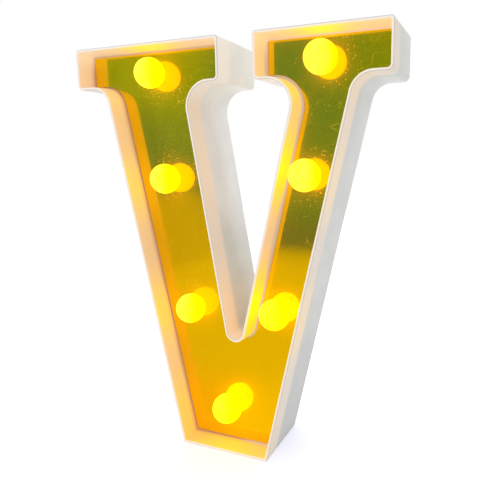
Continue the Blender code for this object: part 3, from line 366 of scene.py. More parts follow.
def paint_glow(graph, shader, colour, strength):
    """Paint a wall colour and let it glow a little: painted light, standing in for the globes' light coming
    through thin plastic.
    """
    graph.feed(shader.inputs['Base Color'], colour)
    graph.feed(shader.inputs['Emission Color'], colour)
    graph.feed(shader.inputs['Emission Strength'], strength)


def mottled(graph, colour):
    """A colour with faint cloudy moulding marks."""
    made = graph.node('ShaderNodeVectorMath', operation='SCALE')
    graph.feed(made.inputs[0], colour)
    graph.feed(made.inputs['Scale'], graph.ramp(graph.noise(MOTTLE_SCALE, 2.0), *NOISE_SPAN, *MOTTLE_LEVELS))
    return made.outputs[0]


def outer_wall_material():
    """White side wall, greyer lower down as painted shade, with a painted warm glow in front for the tray's
    light coming through it.
    """
    made, graph, shader = principled("casing_outer_wall")
    _, y, z = graph.axes()
    band = graph.ramp(y, BAND_START_Y, BAND_END_Y, 1.0, 0.0)
    warm = graph.mix(globe_glow(graph, WALL_REACH), WALL_BAND_FAR, WALL_BAND_NEAR)
    # Painted shade: the wall greyer lower down
    grey = mottled(graph, graph.mix(graph.ramp(z, *WALL_SHADE_Z), WALL_LOW_SHADE, WALL_GREY))
    paint_glow(graph, shader, graph.mix(band, grey, warm), graph.ramp(band, 0.0, 1.0, *WALL_LIGHT))
    plastic_finish(graph, shader)
    return made


def notch_wall_material():
    """The walls that face each other between the strokes, with painted light and shade: darkest about
    halfway up, warmer and lighter at the bottom and in a front band where the globes' light is painted,
    paler and cooler towards the back, and paler near the serifs' tips.
    """
    made, graph, shader = principled("casing_notch_wall")
    _, y, z = graph.axes()
    tip = graph.ramp(z, *NOTCH_TIP_Z)
    # Painted shade halfway up, between painted light from the globes at the bottom and a paler top
    behind = graph.mix(graph.ramp(z, *NOTCH_LOW_GLOW_Z), NOTCH_LOW_GLOW, NOTCH_MIDDLE_SHADE)
    behind = graph.mix(graph.ramp(z, *NOTCH_HIGH_Z), behind, NOTCH_HIGH)
    cooler = graph.math('MULTIPLY', graph.ramp(y, *NOTCH_COOL_Y),
                        graph.ramp(z, *NOTCH_COOL_Z, *NOTCH_COOL_SHARES))
    behind = graph.mix(cooler, behind, NOTCH_REAR)
    behind = mottled(graph, graph.mix(tip, behind, SERIF_TIP_REAR))
    ahead = graph.mix(globe_glow(graph, NOTCH_REACH), NOTCH_BAND, NOTCH_BAND_LIT)
    ahead = graph.mix(tip, ahead, SERIF_TIP)
    band = graph.ramp(y, BAND_START_Y, NOTCH_BAND_END_Y, 1.0, 0.0)
    paint_glow(graph, shader, graph.mix(band, behind, ahead), graph.ramp(band, 0.0, 1.0, *NOTCH_LIGHT))
    plastic_finish(graph, shader)
    return made


def tray_wall_material():
    """Inner wall of the tray, with painted light from the globes beside it, paler overhead, deeper in colour
    low down, and painted shade at its foot and in the gap beside the mirror.
    """
    made, graph, shader = principled("casing_tray_wall")
    x, y, z = graph.axes()
    near = globe_glow(graph, TRAY_REACH, TRAY_BRIGHT_REACH)
    middle = globe_glow(graph, WALL_REACH)
    right = graph.ramp(x, *RIGHT_HALF_X)
    far = graph.mix(right, TRAY_FAR, TRAY_FAR_RIGHT)
    far = graph.mix(graph.ramp(z, *TRAY_SERIF_Z), far, TRAY_SERIF)
    side = graph.mix(middle, far, TRAY_MIDDLE)
    side = graph.mix(graph.ramp(z, *TRAY_LOW_Z, 1.0, 0.0), side, TRAY_LOW)
    side = graph.mix(near, side, graph.mix(graph.ramp(z, *TRAY_NEAR_Z), TRAY_NEAR_LOW, TRAY_NEAR))
    top_far = graph.mix(right, TOP_FAR, TOP_FAR_RIGHT)
    top_middle = graph.mix(right, TOP_MIDDLE, TOP_MIDDLE_RIGHT)
    top_near = graph.mix(right, TOP_NEAR, TOP_NEAR_RIGHT)
    top_share = graph.math('POWER', near, graph.ramp(right, 0.0, 1.0, *TOP_POWERS))
    top = graph.mix(top_share, graph.mix(middle, top_far, top_middle), top_near)
    overhead = graph.ramp(z, *OVERHEAD_Z)
    colour = graph.mix(overhead, side, top)
    # Painted shade at the wall's foot, cleared near the globes, and in the gap beside the mirror
    shade = graph.ramp(y, *TRAY_SHADE_Y)
    shade = graph.math('MULTIPLY', shade, graph.math('SUBTRACT', 1.0, graph.ramp(middle, *SHADE_CLEARING)))
    shade = graph.math('MULTIPLY', shade, graph.ramp(overhead, 0.0, 1.0, *SHADE_SHARES))
    foot = graph.mix(overhead, graph.mix(right, TRAY_GAP_SHADE, GAP_SHADE_RIGHT), TOP_GAP_SHADE)
    colour = graph.mix(shade, colour, foot)
    gap = graph.ramp(y, *TRAY_GAP_Y)
    colour = graph.mix(gap, colour, foot)
    gap_right = graph.math('MULTIPLY', gap, right)
    paint_glow(graph, shader, colour, graph.ramp(gap_right, 0.0, 1.0, *TRAY_LIGHT))
    plastic_finish(graph, shader)
    return made


def rim_material():
    """The thin front rim, nearly white, with a painted warm glow near the globes."""
    made, graph, shader = principled("casing_rim")
    paint_glow(graph, shader, graph.mix(globe_glow(graph, RIM_REACH), RIM_WHITE, RIM_GLOW), RIM_LIGHT)
    plastic_finish(graph, shader, RIM_ROUGHNESS)
    return made


def edge_material():
    """The rounded outer edge of the rim, greyed with painted shade that outlines the letter, cooler along
    the top.
    """
    made, graph, shader = principled("casing_edge")
    overhead = graph.ramp(graph.axes()['Z'], *OVERHEAD_EDGE_Z)
    paint_glow(graph, shader, mottled(graph, graph.mix(overhead, EDGE_SHADE, EDGE_TOP_SHADE)), EDGE_LIGHT)
    plastic_finish(graph, shader, RIM_ROUGHNESS)
    return made


def back_material(name, colour):
    """Plain white moulding of the back, with a fine spark texture and faint wear."""
    made, graph, shader = principled(name)
    worn = tuple(value * WEAR_DARKNESS for value in colour)
    patches = graph.ramp(graph.noise(WEAR_PATCH_SCALE), *NOISE_SPAN)
    graph.feed(shader.inputs['Base Color'], graph.mix(patches, worn, colour))
    shader.inputs['Roughness'].default_value = BACK_ROUGHNESS
    shader.inputs['Specular IOR Level'].default_value = PLASTIC_SPECULAR
    graph.feed(shader.inputs['Normal'], graph.bump(graph.noise(SPARK_SCALE), *SPARK_BUMP))
    return made


# Mirror

# A pale strip on the film along the right stroke's wall, and a darker edge of painted shade beside it
MARGIN_PALE = srgb(222, 196, 160)
MARGIN_INSET = 3.4 * MM
MARGIN_BORDER = (MARGIN_INSET - 0.1 * MM, MARGIN_INSET + 0.1 * MM)
SHADED_EDGE_INSETS = (MARGIN_INSET, MARGIN_INSET + 0.5 * MM)
MARGIN_START_Z = (72.0 * MM, 80.0 * MM)
FILM_GOLD = (0.92, 0.62, 0.015)
FILM_SHADED_EDGE = (0.66, 0.37, 0.03)
MARK_GOLD = (0.85, 0.60, 0.05)
# Painted light on the film: an orange glow round each globe, light on the specks near them, and more specks
# there to show it
HALO_ORANGE = (1.0, 0.22, 0.0)
HALO_STRENGTH = 0.17
LIT_DUST_STRENGTH = 0.5
SPECK_SCALE = 300.0
SPECK_SIZE = (0.06, 0.10)
CLOUD_SCALE = 75.0
CLOUD_SPAN = (0.56, 0.64)
DUST_BY_GLOBES = 0.08
HAIR_SCALE = 95.0
HAIR_WIDTH = 0.006
PATCH_SCALE = 31.0
PATCH_SPAN = (0.54, 0.62)
POLISH_SCALE = 35.0
POLISH_SPAN = (0.35, 0.7)
POLISH_ROUGHNESS = (0.07, 0.12)
HAZE_SCALE = 7000.0
HAZE_SPAN = (0.54, 0.58)
HAZE_ROUGHNESS = 0.40
DUST_ROUGHNESS = 0.4
HAIR_ROUGHNESS = 0.25
MARGIN_ROUGHNESS = 0.6
HAIR_SHARE = 0.5
MARK_DULLING = 0.7
WAVE_SCALE = 18.0
WAVE_BUMP = (0.05, 0.3 * MM)


def pale_margin(graph):
    """A pale, unmetalled strip of the film along the right stroke's inner wall: 1 on the strip, with the
    share of a thin dark edge of painted shade beside it."""
    x, _, z = graph.axes()
    under_z, tip_x = LETTER_HEIGHT - RIGHT_SERIF_HEIGHT, RIGHT_X - RIGHT_SERIF_WIDTH
    slant = stroke_side(RIGHT_INNER, -1.0)
    point, outward = slant
    centre = crossing(slant, (Vector((0.0, under_z)), Vector((0.0, -1.0))), -INNER_BRACKET_RADIUS)
    bend_z = centre.y - INNER_BRACKET_RADIUS * outward.y
    along = graph.math('ADD', graph.math('MULTIPLY', x, outward.x), graph.math('MULTIPLY', z, outward.y))
    off_slant = graph.math('SUBTRACT', point.dot(outward), along)
    aside = graph.math('SUBTRACT', x, centre.x)
    above = graph.math('SUBTRACT', z, centre.y)
    squares = graph.math('ADD', graph.math('POWER', aside, 2.0), graph.math('POWER', above, 2.0))
    off_bracket = graph.math('SUBTRACT', graph.math('SQRT', squares), INNER_BRACKET_RADIUS)
    off_tip = graph.math('MINIMUM', graph.math('SUBTRACT', z, under_z), graph.math('SUBTRACT', x, tip_x))
    low = graph.math('LESS_THAN', z, bend_z)
    high = graph.math('SUBTRACT', 1.0, low)
    inner = graph.math('GREATER_THAN', aside, 0.0)
    stroke = graph.math('MULTIPLY', low, graph.math('GREATER_THAN', off_slant, 0.0))
    stroke = graph.math('MULTIPLY', stroke, graph.ramp(z, *MARGIN_START_Z))
    bracket = graph.math('MULTIPLY', high, inner)
    tip = graph.math('MULTIPLY', high, graph.math('SUBTRACT', 1.0, inner))
    tip = graph.math('MULTIPLY', tip, graph.math('GREATER_THAN', off_tip, 0.0))
    shares = []
    for start, end in (MARGIN_BORDER, SHADED_EDGE_INSETS):
        total = 0.0
        for zone, off in ((stroke, off_slant), (bracket, off_bracket), (tip, off_tip)):
            share = graph.math('MULTIPLY', zone, graph.ramp(off, start, end, 1.0, 0.0))
            total = graph.math('ADD', total, share)
        shares.append(total)
    return shares


def mirror_material():
    """Gold mirror film: sharp, with a faint haze, a painted orange glow round each globe, dust and hairline
    scuffs, painted light on the dust near the globes, and a darker edge of painted shade beside a pale
    margin along the right stroke.
    """
    made, graph, shader = principled("gold_mirror")
    margin, edge = pale_margin(graph)
    x, _, z = graph.axes()
    flat = graph.node('ShaderNodeCombineXYZ')
    graph.feed(flat.inputs['X'], x)
    graph.feed(flat.inputs['Y'], z)
    specks = graph.node('ShaderNodeTexVoronoi', voronoi_dimensions='2D')
    graph.feed(specks.inputs['Vector'], flat.outputs[0])
    specks.inputs['Scale'].default_value = SPECK_SCALE
    dot = graph.ramp(specks.outputs['Distance'], *SPECK_SIZE, 1.0, 0.0)
    near = globe_glow(graph, HALO_REACH)
    # More specks near the globes, standing in for the ones that their light picks out
    cloud = graph.math('ADD', graph.noise(CLOUD_SCALE, 2.0), graph.ramp(near, 0.0, 0.5, 0.0, DUST_BY_GLOBES))
    dust = graph.math('MULTIPLY', dot, graph.ramp(cloud, *CLOUD_SPAN))
    line = graph.math('ABSOLUTE', graph.math('SUBTRACT', graph.noise(HAIR_SCALE, 1.0), 0.5))
    hair = graph.ramp(line, 0.0, HAIR_WIDTH, 1.0, 0.0)
    hair = graph.math('MULTIPLY', hair, graph.ramp(graph.noise(PATCH_SCALE, 1.0), *PATCH_SPAN))
    marks = graph.math('MAXIMUM', dust, graph.math('MULTIPLY', hair, HAIR_SHARE))
    film = graph.math('SUBTRACT', 1.0, graph.math('MULTIPLY', marks, MARK_DULLING))
    graph.feed(shader.inputs['Metallic'], graph.math('MULTIPLY', film, graph.math('SUBTRACT', 1.0, margin)))
    # Painted shade: a thin darker edge of the film beside the margin
    gold = graph.mix(edge, FILM_GOLD, FILM_SHADED_EDGE)
    gold = graph.mix(marks, gold, MARK_GOLD)
    graph.feed(shader.inputs['Base Color'], graph.mix(margin, gold, MARGIN_PALE))
    base = graph.ramp(graph.noise(POLISH_SCALE, 4.0), *POLISH_SPAN, *POLISH_ROUGHNESS)
    haze = graph.ramp(graph.noise(HAZE_SCALE, 0.0), *HAZE_SPAN, 0.0, HAZE_ROUGHNESS)
    worn = graph.math('ADD', graph.math('MULTIPLY', dust, DUST_ROUGHNESS),
                      graph.math('MULTIPLY', hair, HAIR_ROUGHNESS))
    worn = graph.math('MAXIMUM', worn, graph.math('MULTIPLY', margin, MARGIN_ROUGHNESS))
    graph.feed(shader.inputs['Roughness'], graph.math('ADD', graph.math('ADD', base, worn), haze))
    graph.feed(shader.inputs['Normal'], graph.bump(graph.noise(WAVE_SCALE, 2.0), *WAVE_BUMP))
    graph.feed(shader.inputs['Emission Color'], HALO_ORANGE)
    # Painted light: an orange glow round each globe and on the specks near them
    halo = graph.math('MULTIPLY', near, HALO_STRENGTH)
    lit_dust = graph.math('MULTIPLY', dust, graph.ramp(near, 0.0, 0.2))
    graph.feed(shader.inputs['Emission Strength'],
               graph.math('ADD', halo, graph.math('MULTIPLY', lit_dust, LIT_DUST_STRENGTH)))
    return made


# Globes and small parts

# Glow of the globes: strength, blue of the painted highlight on the left side and the facings over which it
# comes in
STEADY_GLOW = (2.0, 0.029, (-0.42, 0.42))
BRIGHT_GLOW = (2.9, 0.007, (-0.42, 0.42))
HIGHLIGHT_GLOW = (2.0, 0.036, (-0.75, 0.2))
HIGHLIGHT_SIDE = (-0.92, -0.39, 0.0)
HIGHLIGHT_GREEN = 0.56
GLOBE_BASE = (0.30, 0.27, 0.0)
GLOBE_DEEP = (1.0, 0.49, 0.0)
GLOBE_LIGHT = (1.0, 0.54, 0.0)
GLOBE_ROUGHNESS = 0.16
GLOBE_SPECULAR = 0.05
CLOUDY_SCALE = 260.0
CLOUDY_SPAN = (0.42, 0.62)
CLOUDY_LEVELS = (0.70, 1.20)
FROST_SCALE = 300.0
FROST_BUMP_SCALE = 900.0
FROST_BUMP = (0.15, 0.03 * MM)

STEEL = (0.72, 0.72, 0.70)
STEEL_SCALE = 400.0
STEEL_ROUGHNESS = (0.22, 0.34)
ZINC = (0.56, 0.56, 0.55)
ZINC_SCALE = 500.0
ZINC_ROUGHNESS = (0.30, 0.42)
RECESS_SHADE = (0.05, 0.05, 0.05)
RECESS_SHADE_DEPTH = 0.7 * MM
RECESS_CLEAR_DEPTH = 0.1 * MM
CELL_SLEEVE = srgb(44, 46, 52)
CELL_COPPER = srgb(196, 150, 70)
CELL_BAND_X = (12.0 * MM, 12.4 * MM)
CELL_ROUGHNESS = 0.35
CELL_METAL = 0.3
PART_GRAIN_SCALE = 900.0
PART_GRAIN_DARKNESS = 0.85

# Colour and roughness of the plain small parts
PLAIN_LOOKS = {
    "led_epoxy": (srgb(250, 240, 200), 0.15),
    "lead_black": (srgb(32, 32, 34), 0.45),
    "slider_black": (srgb(30, 30, 32), 0.4),
    "wire_red": (srgb(190, 30, 26), 0.45),
    "wire_black": (srgb(32, 32, 34), 0.45),
    "resistor_body": (srgb(214, 190, 150), 0.5),
}


def globe_material(name, strength, highlight_blue, highlight_facings):
    """Frosted globe, lit from inside, with a painted highlight on its left: a paler, cloudy glow."""
    made, graph, shader = principled(name)
    graph.feed(shader.inputs['Base Color'], GLOBE_BASE)
    shader.inputs['Roughness'].default_value = GLOBE_ROUGHNESS
    shader.inputs['Specular IOR Level'].default_value = GLOBE_SPECULAR
    # Painted highlight: a paler, bluer glow on the side facing left
    facing = graph.node('ShaderNodeVectorMath', operation='DOT_PRODUCT')
    graph.feed(facing.inputs[0], graph.node('ShaderNodeNewGeometry').outputs['Normal'])
    facing.inputs[1].default_value = HIGHLIGHT_SIDE
    pale = graph.ramp(facing.outputs['Value'], *highlight_facings)
    cloudy = graph.ramp(graph.noise(CLOUDY_SCALE, 2.0), *CLOUDY_SPAN, *CLOUDY_LEVELS)
    pale = graph.math('MULTIPLY', pale, cloudy)
    colour = graph.mix(graph.ramp(graph.noise(FROST_SCALE), *NOISE_SPAN), GLOBE_DEEP, GLOBE_LIGHT)
    colour = graph.mix(pale, colour, (1.0, HIGHLIGHT_GREEN, highlight_blue))
    graph.feed(shader.inputs['Emission Color'], colour)
    shader.inputs['Emission Strength'].default_value = strength
    graph.feed(shader.inputs['Normal'], graph.bump(graph.noise(FROST_BUMP_SCALE, 2.0), *FROST_BUMP))
    return made


def steel_material():
    """Plated steel, a little uneven in its polish."""
    made, graph, shader = principled("plated_steel")
    graph.feed(shader.inputs['Base Color'], STEEL)
    shader.inputs['Metallic'].default_value = 1.0
    polish = graph.ramp(graph.noise(STEEL_SCALE), *NOISE_SPAN, *STEEL_ROUGHNESS)
    graph.feed(shader.inputs['Roughness'], polish)
    return made


def plain_material(name, colour, roughness):
    """One colour with a faint grain."""
    made, graph, shader = principled(name)
    darker = tuple(value * PART_GRAIN_DARKNESS for value in colour)
    graph.feed(shader.inputs['Base Color'], graph.mix(graph.noise(PART_GRAIN_SCALE), darker, colour))
    shader.inputs['Roughness'].default_value = roughness
    return made


def screw_material():
    """Zinc-plated screw, with painted shade down in its cross recess."""
    made, graph, shader = principled("screw_zinc")
    head_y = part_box("cover_screw_1")[1].y
    # Painted shade down in the cross recess
    clear = graph.ramp(graph.axes()['Y'], head_y - RECESS_SHADE_DEPTH, head_y - RECESS_CLEAR_DEPTH)
    graph.feed(shader.inputs['Base Color'], graph.mix(clear, RECESS_SHADE, ZINC))
    shader.inputs['Metallic'].default_value = 1.0
    polish = graph.ramp(graph.noise(ZINC_SCALE, 2.0), *NOISE_SPAN, *ZINC_ROUGHNESS)
    graph.feed(shader.inputs['Roughness'], polish)
    return made


def cell_material():
    """Plain cell: dark sleeve with a copper-coloured band at one end."""
    made, graph, shader = principled("cell_sleeve")
    band = graph.ramp(graph.axes()['X'], *CELL_BAND_X)
    graph.feed(shader.inputs['Base Color'], graph.mix(band, CELL_SLEEVE, CELL_COPPER))
    shader.inputs['Roughness'].default_value = CELL_ROUGHNESS
    shader.inputs['Metallic'].default_value = CELL_METAL
    return made


# Letter outline

def stroke_edge(foot_x, top_x):
    """A stroke's slanted edge line, as a function from height to x."""
    lean = (top_x - foot_x) / LETTER_HEIGHT
    return lambda z: foot_x + lean * z


def notch_tangent(top_x, side):
    """Foot x of the inner edge from top_x that touches the notch's round bottom, side -1 on its left."""
    top = Vector((top_x, LETTER_HEIGHT))
    middle = Vector((FOOT_LEFT_X + NOTCH_OFFSET, NOTCH_HEIGHT + NOTCH_RADIUS))
    reach = middle - top
    swing = math.asin(NOTCH_RADIUS / reach.length)
    down = math.atan2(reach.y, reach.x) + side * swing
    return top.x - top.y / math.tan(down)


LEFT_TOP_X = LEFT_X + LEFT_STROKE_TOP_OFFSET
RIGHT_TOP_X = RIGHT_X - RIGHT_STROKE_TOP_OFFSET
LEFT_INNER_TOP_X = LEFT_TOP_X + LEFT_STROKE_TOP_WIDTH
RIGHT_INNER_TOP_X = RIGHT_TOP_X - RIGHT_STROKE_TOP_WIDTH
LEFT_OUTER = stroke_edge(FOOT_LEFT_X, LEFT_TOP_X)
RIGHT_OUTER = stroke_edge(FOOT_RIGHT_X, RIGHT_TOP_X)
LEFT_INNER = stroke_edge(notch_tangent(LEFT_INNER_TOP_X, -1.0), LEFT_INNER_TOP_X)
RIGHT_INNER = stroke_edge(notch_tangent(RIGHT_INNER_TOP_X, 1.0), RIGHT_INNER_TOP_X)


def crossing(first, second, shift):
    """Where two edges meet once both have moved inwards by a shift."""
    (point_a, normal_a), (point_b, normal_b) = first, second
    reach_a = point_a.dot(normal_a) - shift
    reach_b = point_b.dot(normal_b) - shift
    determinant = normal_a.x * normal_b.y - normal_a.y * normal_b.x
    return Vector(((reach_a * normal_b.y - reach_b * normal_a.y) / determinant,
                   (reach_b * normal_a.x - reach_a * normal_b.x) / determinant))


def stroke_side(edge, facing):
    """A slanted edge as a point and its outward normal, facing 1 for +X and -1 for -X."""
    foot = Vector((edge(0.0), 0.0))
    along = Vector((edge(LETTER_HEIGHT), LETTER_HEIGHT)) - foot
    return foot, Vector((along.y, -along.x)).normalized() * facing


def letter_corners():
    """Each corner clockwise from the front: the edges it joins and its radius, below zero if hollow."""
    up, down = Vector((0.0, 1.0)), Vector((0.0, -1.0))
    right, left = Vector((1.0, 0.0)), Vector((-1.0, 0.0))
    top = (Vector((0.0, LETTER_HEIGHT)), up)
    under_left = (Vector((0.0, LETTER_HEIGHT - LEFT_SERIF_HEIGHT)), down)
    under_right = (Vector((0.0, LETTER_HEIGHT - RIGHT_SERIF_HEIGHT)), down)
    sole = (Vector((0.0, 0.0)), down)
    left_serif_end = (Vector((LEFT_X, 0.0)), left)
    left_serif_tip = (Vector((LEFT_X + LEFT_SERIF_WIDTH, 0.0)), right)
    right_serif_tip = (Vector((RIGHT_X - RIGHT_SERIF_WIDTH, 0.0)), left)
    right_serif_end = (Vector((RIGHT_X, 0.0)), right)
    left_outer, left_inner = stroke_side(LEFT_OUTER, -1.0), stroke_side(LEFT_INNER, 1.0)
    right_inner, right_outer = stroke_side(RIGHT_INNER, -1.0), stroke_side(RIGHT_OUTER, 1.0)
    return (
        (top, left_serif_tip, TOP_CORNER_RADIUS),
        (left_serif_tip, under_left, LOW_CORNER_RADIUS),
        (under_left, left_inner, -INNER_BRACKET_RADIUS),
        (left_inner, right_inner, -NOTCH_RADIUS),
        (right_inner, under_right, -INNER_BRACKET_RADIUS),
        (under_right, right_serif_tip, LOW_CORNER_RADIUS),
        (right_serif_tip, top, TOP_CORNER_RADIUS),
        (top, right_serif_end, TOP_CORNER_RADIUS),
        (right_serif_end, under_right, LOW_CORNER_RADIUS),
        (under_right, right_outer, -OUTER_BRACKET_RADIUS),
        (right_outer, sole, FOOT_CORNER_RADIUS),
        (sole, left_outer, FOOT_CORNER_RADIUS),
        (left_outer, under_left, -OUTER_BRACKET_RADIUS),
        (under_left, left_serif_end, LOW_CORNER_RADIUS),
        (left_serif_end, top, TOP_CORNER_RADIUS),
    )


def corner_points(first, second, radius, inset):
    """The rounded corner between two edges, once both have moved inwards by an inset."""
    side = 1.0 if radius > 0.0 else -1.0
    reach = max(abs(radius) - side * inset, SHARPEST_CORNER)
    centre = crossing(first, second, inset + side * reach)
    start = math.atan2(first[1].y, first[1].x)
    turn = first[1].angle_signed(second[1])
    step = 2.0 * math.acos(1.0 - ARC_TOLERANCE / abs(radius))
    count = max(4, round(abs(turn) / step))
    points = []
    for index in range(count + 1):
        angle = start - turn * index / count
        points.append(centre + side * reach * Vector((math.cos(angle), math.sin(angle))))
    return points


def letter_outline(inset):
    """The letter's outline at an inset from its outer edge; every inset has as many points."""
    points = []
    for first, second, radius in letter_corners():
        points += corner_points(first, second, radius, inset)
    return points


# Pieces

def piece(name, bm, materials, body, replaced):
    """A finished mesh piece that rides on a body in place of CAD nodes."""
    bmesh.ops.recalc_face_normals(bm, faces=bm.faces)
    mesh = bpy.data.meshes.new(name)
    bm.to_mesh(mesh)
    bm.free()
    for item in materials:
        mesh.materials.append(item)
    mesh.shade_smooth()
    mesh.set_sharp_from_angle(angle=SHARP_ANGLE)
    made = bpy.data.objects.new(name, mesh)
    bpy.context.scene.collection.objects.link(made)
    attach(made, body)
    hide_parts(*replaced)
    return made


OUTER, TRAY, RIM, REAR, EDGE, NOTCH = range(6)
NOTCH_CORNERS = 7


def rounded(start, end, inset_first, surface):
    """Section points of a quarter round, with its start and without its end. It leaves the start
    along the inset or along the depth."""
    (inset_from, y_from), (inset_to, y_to) = start, end
    steps = [(inset_from, y_from, surface)]
    for index in range(1, ROUND_STEPS):
        angle = math.pi / 2.0 * index / ROUND_STEPS
        ahead, behind = math.sin(angle), 1.0 - math.cos(angle)
        share_inset, share_y = (ahead, behind) if inset_first else (behind, ahead)
        inset = inset_from + share_inset * (inset_to - inset_from)
        steps.append((inset, y_from + share_y * (y_to - y_from), surface))
    return steps


def casing_section():
    """Section points (inset, y) with the material of the face that leads to the next point."""
    bead = EDGE_BREAK
    front_y, rear_y = FRONT_Y + bead, REAR_Y - bead
    fillet_start = (WALL_THICKNESS + FLOOR_FILLET, WEB_FRONT_Y)
    fillet_end = (WALL_THICKNESS, WEB_FRONT_Y - FLOOR_FILLET)
    section = rounded(fillet_start, fillet_end, True, TRAY)
    section.append((*fillet_end, TRAY))
    for share in WALL_SHARES:
        inset = WALL_THICKNESS + share * (RIM_THICKNESS - WALL_THICKNESS)
        section.append((inset, WEB_FRONT_Y + share * (front_y - WEB_FRONT_Y), TRAY))
    section += rounded((RIM_THICKNESS, front_y), (RIM_THICKNESS - bead, FRONT_Y), False, RIM)
    section.append((RIM_THICKNESS - bead, FRONT_Y, RIM))
    section += rounded((bead, FRONT_Y), (0.0, front_y), True, EDGE)
    section.append((0.0, front_y, OUTER))
    section += rounded((0.0, rear_y), (bead, REAR_Y), False, OUTER)
    section.append((bead, REAR_Y, REAR))
    section.append((REBATE_WALL, REAR_Y, REAR))
    section.append((REBATE_WALL, LEDGE_Y, REAR))
    section.append((WALL_THICKNESS, LEDGE_Y, REAR))
    section.append((WALL_THICKNESS, WEB_BACK_Y, REAR))
    return section


def notch_faces():
    """How many outline steps run from the left serif's tip down the notch to the right serif's tip."""
    return sum(len(corner_points(*corner, 0.0)) for corner in letter_corners()[:NOTCH_CORNERS]) - 1


def letter_casing():
    """The one-piece moulding, its section swept round the letter, with a hole for each globe's neck."""
    bm = bmesh.new()
    between_strokes = notch_faces()
    section = casing_section()
    loops = []
    for inset, y, _ in section:
        loops.append([bm.verts.new((point.x, y, point.y)) for point in letter_outline(inset)])
    count = len(loops[0])
    for near, far, (_, _, surface) in zip(loops, loops[1:], section):
        for index in range(count):
            following = (index + 1) % count
            face = bm.faces.new((near[index], near[following], far[following], far[index]))
            face.material_index = NOTCH if surface == OUTER and index < between_strokes else surface
    bm.faces.new(loops[0]).material_index = TRAY
    bm.faces.new(list(reversed(loops[-1]))).material_index = REAR
    surfaces = [outer_wall_material(), tray_wall_material(), rim_material(),
                back_material("casing_rear", REAR_WHITE), edge_material(), notch_wall_material()]
    casing = piece("letter_casing", bm, surfaces, "casing", ["letter_shell"])
    holes = bmesh.new()
    radius, middle_y = NECK_RADIUS + CLEARANCE, (WEB_FRONT_Y + WEB_BACK_Y) / 2.0
    for centre in GLOBE_CENTRES:
        made = bmesh.ops.create_cone(holes, cap_ends=True, segments=NECK_HOLE_SIDES, radius1=radius,
                                     radius2=radius, depth=4.0 * WEB_THICKNESS)["verts"]
        for vert in made:
            spot = vert.co.copy()
            vert.co = (centre.x + spot.x, middle_y - spot.z, centre.z + spot.y)
    carve(casing, holes)


def carve(target, bm):
    """Cut one mesh out of a piece."""
    mesh = bpy.data.meshes.new("cutter")
    bm.to_mesh(mesh)
    bm.free()
    cutter = bpy.data.objects.new("cutter", mesh)
    bpy.context.scene.collection.objects.link(cutter)
    cut = target.modifiers.new("carve", 'BOOLEAN')
    cut.operation = 'DIFFERENCE'
    cut.solver = 'EXACT'
    cut.object = cutter
    apply_modifiers(target)
    bpy.data.objects.remove(cutter)


def apply_modifiers(target):
    """Bake a piece's modifiers into its mesh."""
    bpy.context.view_layer.update()
    depsgraph = bpy.context.evaluated_depsgraph_get()
    mesh = bpy.data.meshes.new_from_object(target.evaluated_get(depsgraph))
    target.modifiers.clear()
    target.data = mesh


def globe_profile():
    """Radius and distance in front of the mirror, from the crown round to the neck and back inside."""
    rise = MIRROR_Y - GLOBE_CENTRES[0].y
    tail = MIRROR_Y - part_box("bulb_globe_1")[1].y

    def arc(radius, end_radius, steps):
        end_angle = math.pi - math.asin(end_radius / radius)
        angles = [end_angle * index / steps for index in range(steps + 1)]
        return [(radius * math.sin(angle), rise + radius * math.cos(angle)) for angle in angles]

    outside = arc(GLOBE_RADIUS - GLOBE_SKIN, NECK_RADIUS, GLOBE_RINGS)
    inside = arc(GLOBE_RADIUS - GLOBE_WALL, NECK_RADIUS - NECK_WALL, GLOBE_RINGS // 3)
    return outside + [(NECK_RADIUS, tail), (NECK_RADIUS - NECK_WALL, tail)] + list(reversed(inside))


def lit_globes():
    """Seven frosted globes with their necks, each turned as one hollow piece."""
    steady = globe_material("lit_globe", *STEADY_GLOW)
    bright = globe_material("lit_globe_bright", *BRIGHT_GLOW)
    pale = globe_material("lit_globe_highlighted", *HIGHLIGHT_GLOW)
    surfaces = {number: bright for number in BRIGHT_GLOBES}
    surfaces.update({number: pale for number in HIGHLIGHT_GLOBES})
    profile = globe_profile()
    for number, centre in enumerate(GLOBE_CENTRES, start=1):
        bm = bmesh.new()
        lathe(bm, Vector((centre.x, MIRROR_Y, centre.z)), profile, GLOBE_SIDES, -1.0)
        surface = surfaces.get(number, steady)
        piece(f"globe_{number}", bm, [surface], "casing", [f"bulb_globe_{number}"])


def screw_profile(head_radius, length):
    """Radius and height over the head's underside: crown, head, threads and tip."""
    points = [(0.0, SCREW_HEAD_HEIGHT)]
    points += [(out * head_radius, up * SCREW_HEAD_HEIGHT) for out, up in SCREW_CROWN]
    points += [(head_radius, 0.0), (SCREW_CORE_RADIUS, 0.0)]
    depth = SCREW_THREAD_PITCH
    while depth < length - 2.0 * SCREW_THREAD_PITCH:
        points += [(SCREW_CORE_RADIUS, -depth), (SCREW_THREAD_RADIUS, -depth - 0.5 * SCREW_THREAD_PITCH)]
        depth += SCREW_THREAD_PITCH
    return points + [(SCREW_CORE_RADIUS, -depth), (0.3 * SCREW_CORE_RADIUS, -length), (0.0, -length)]


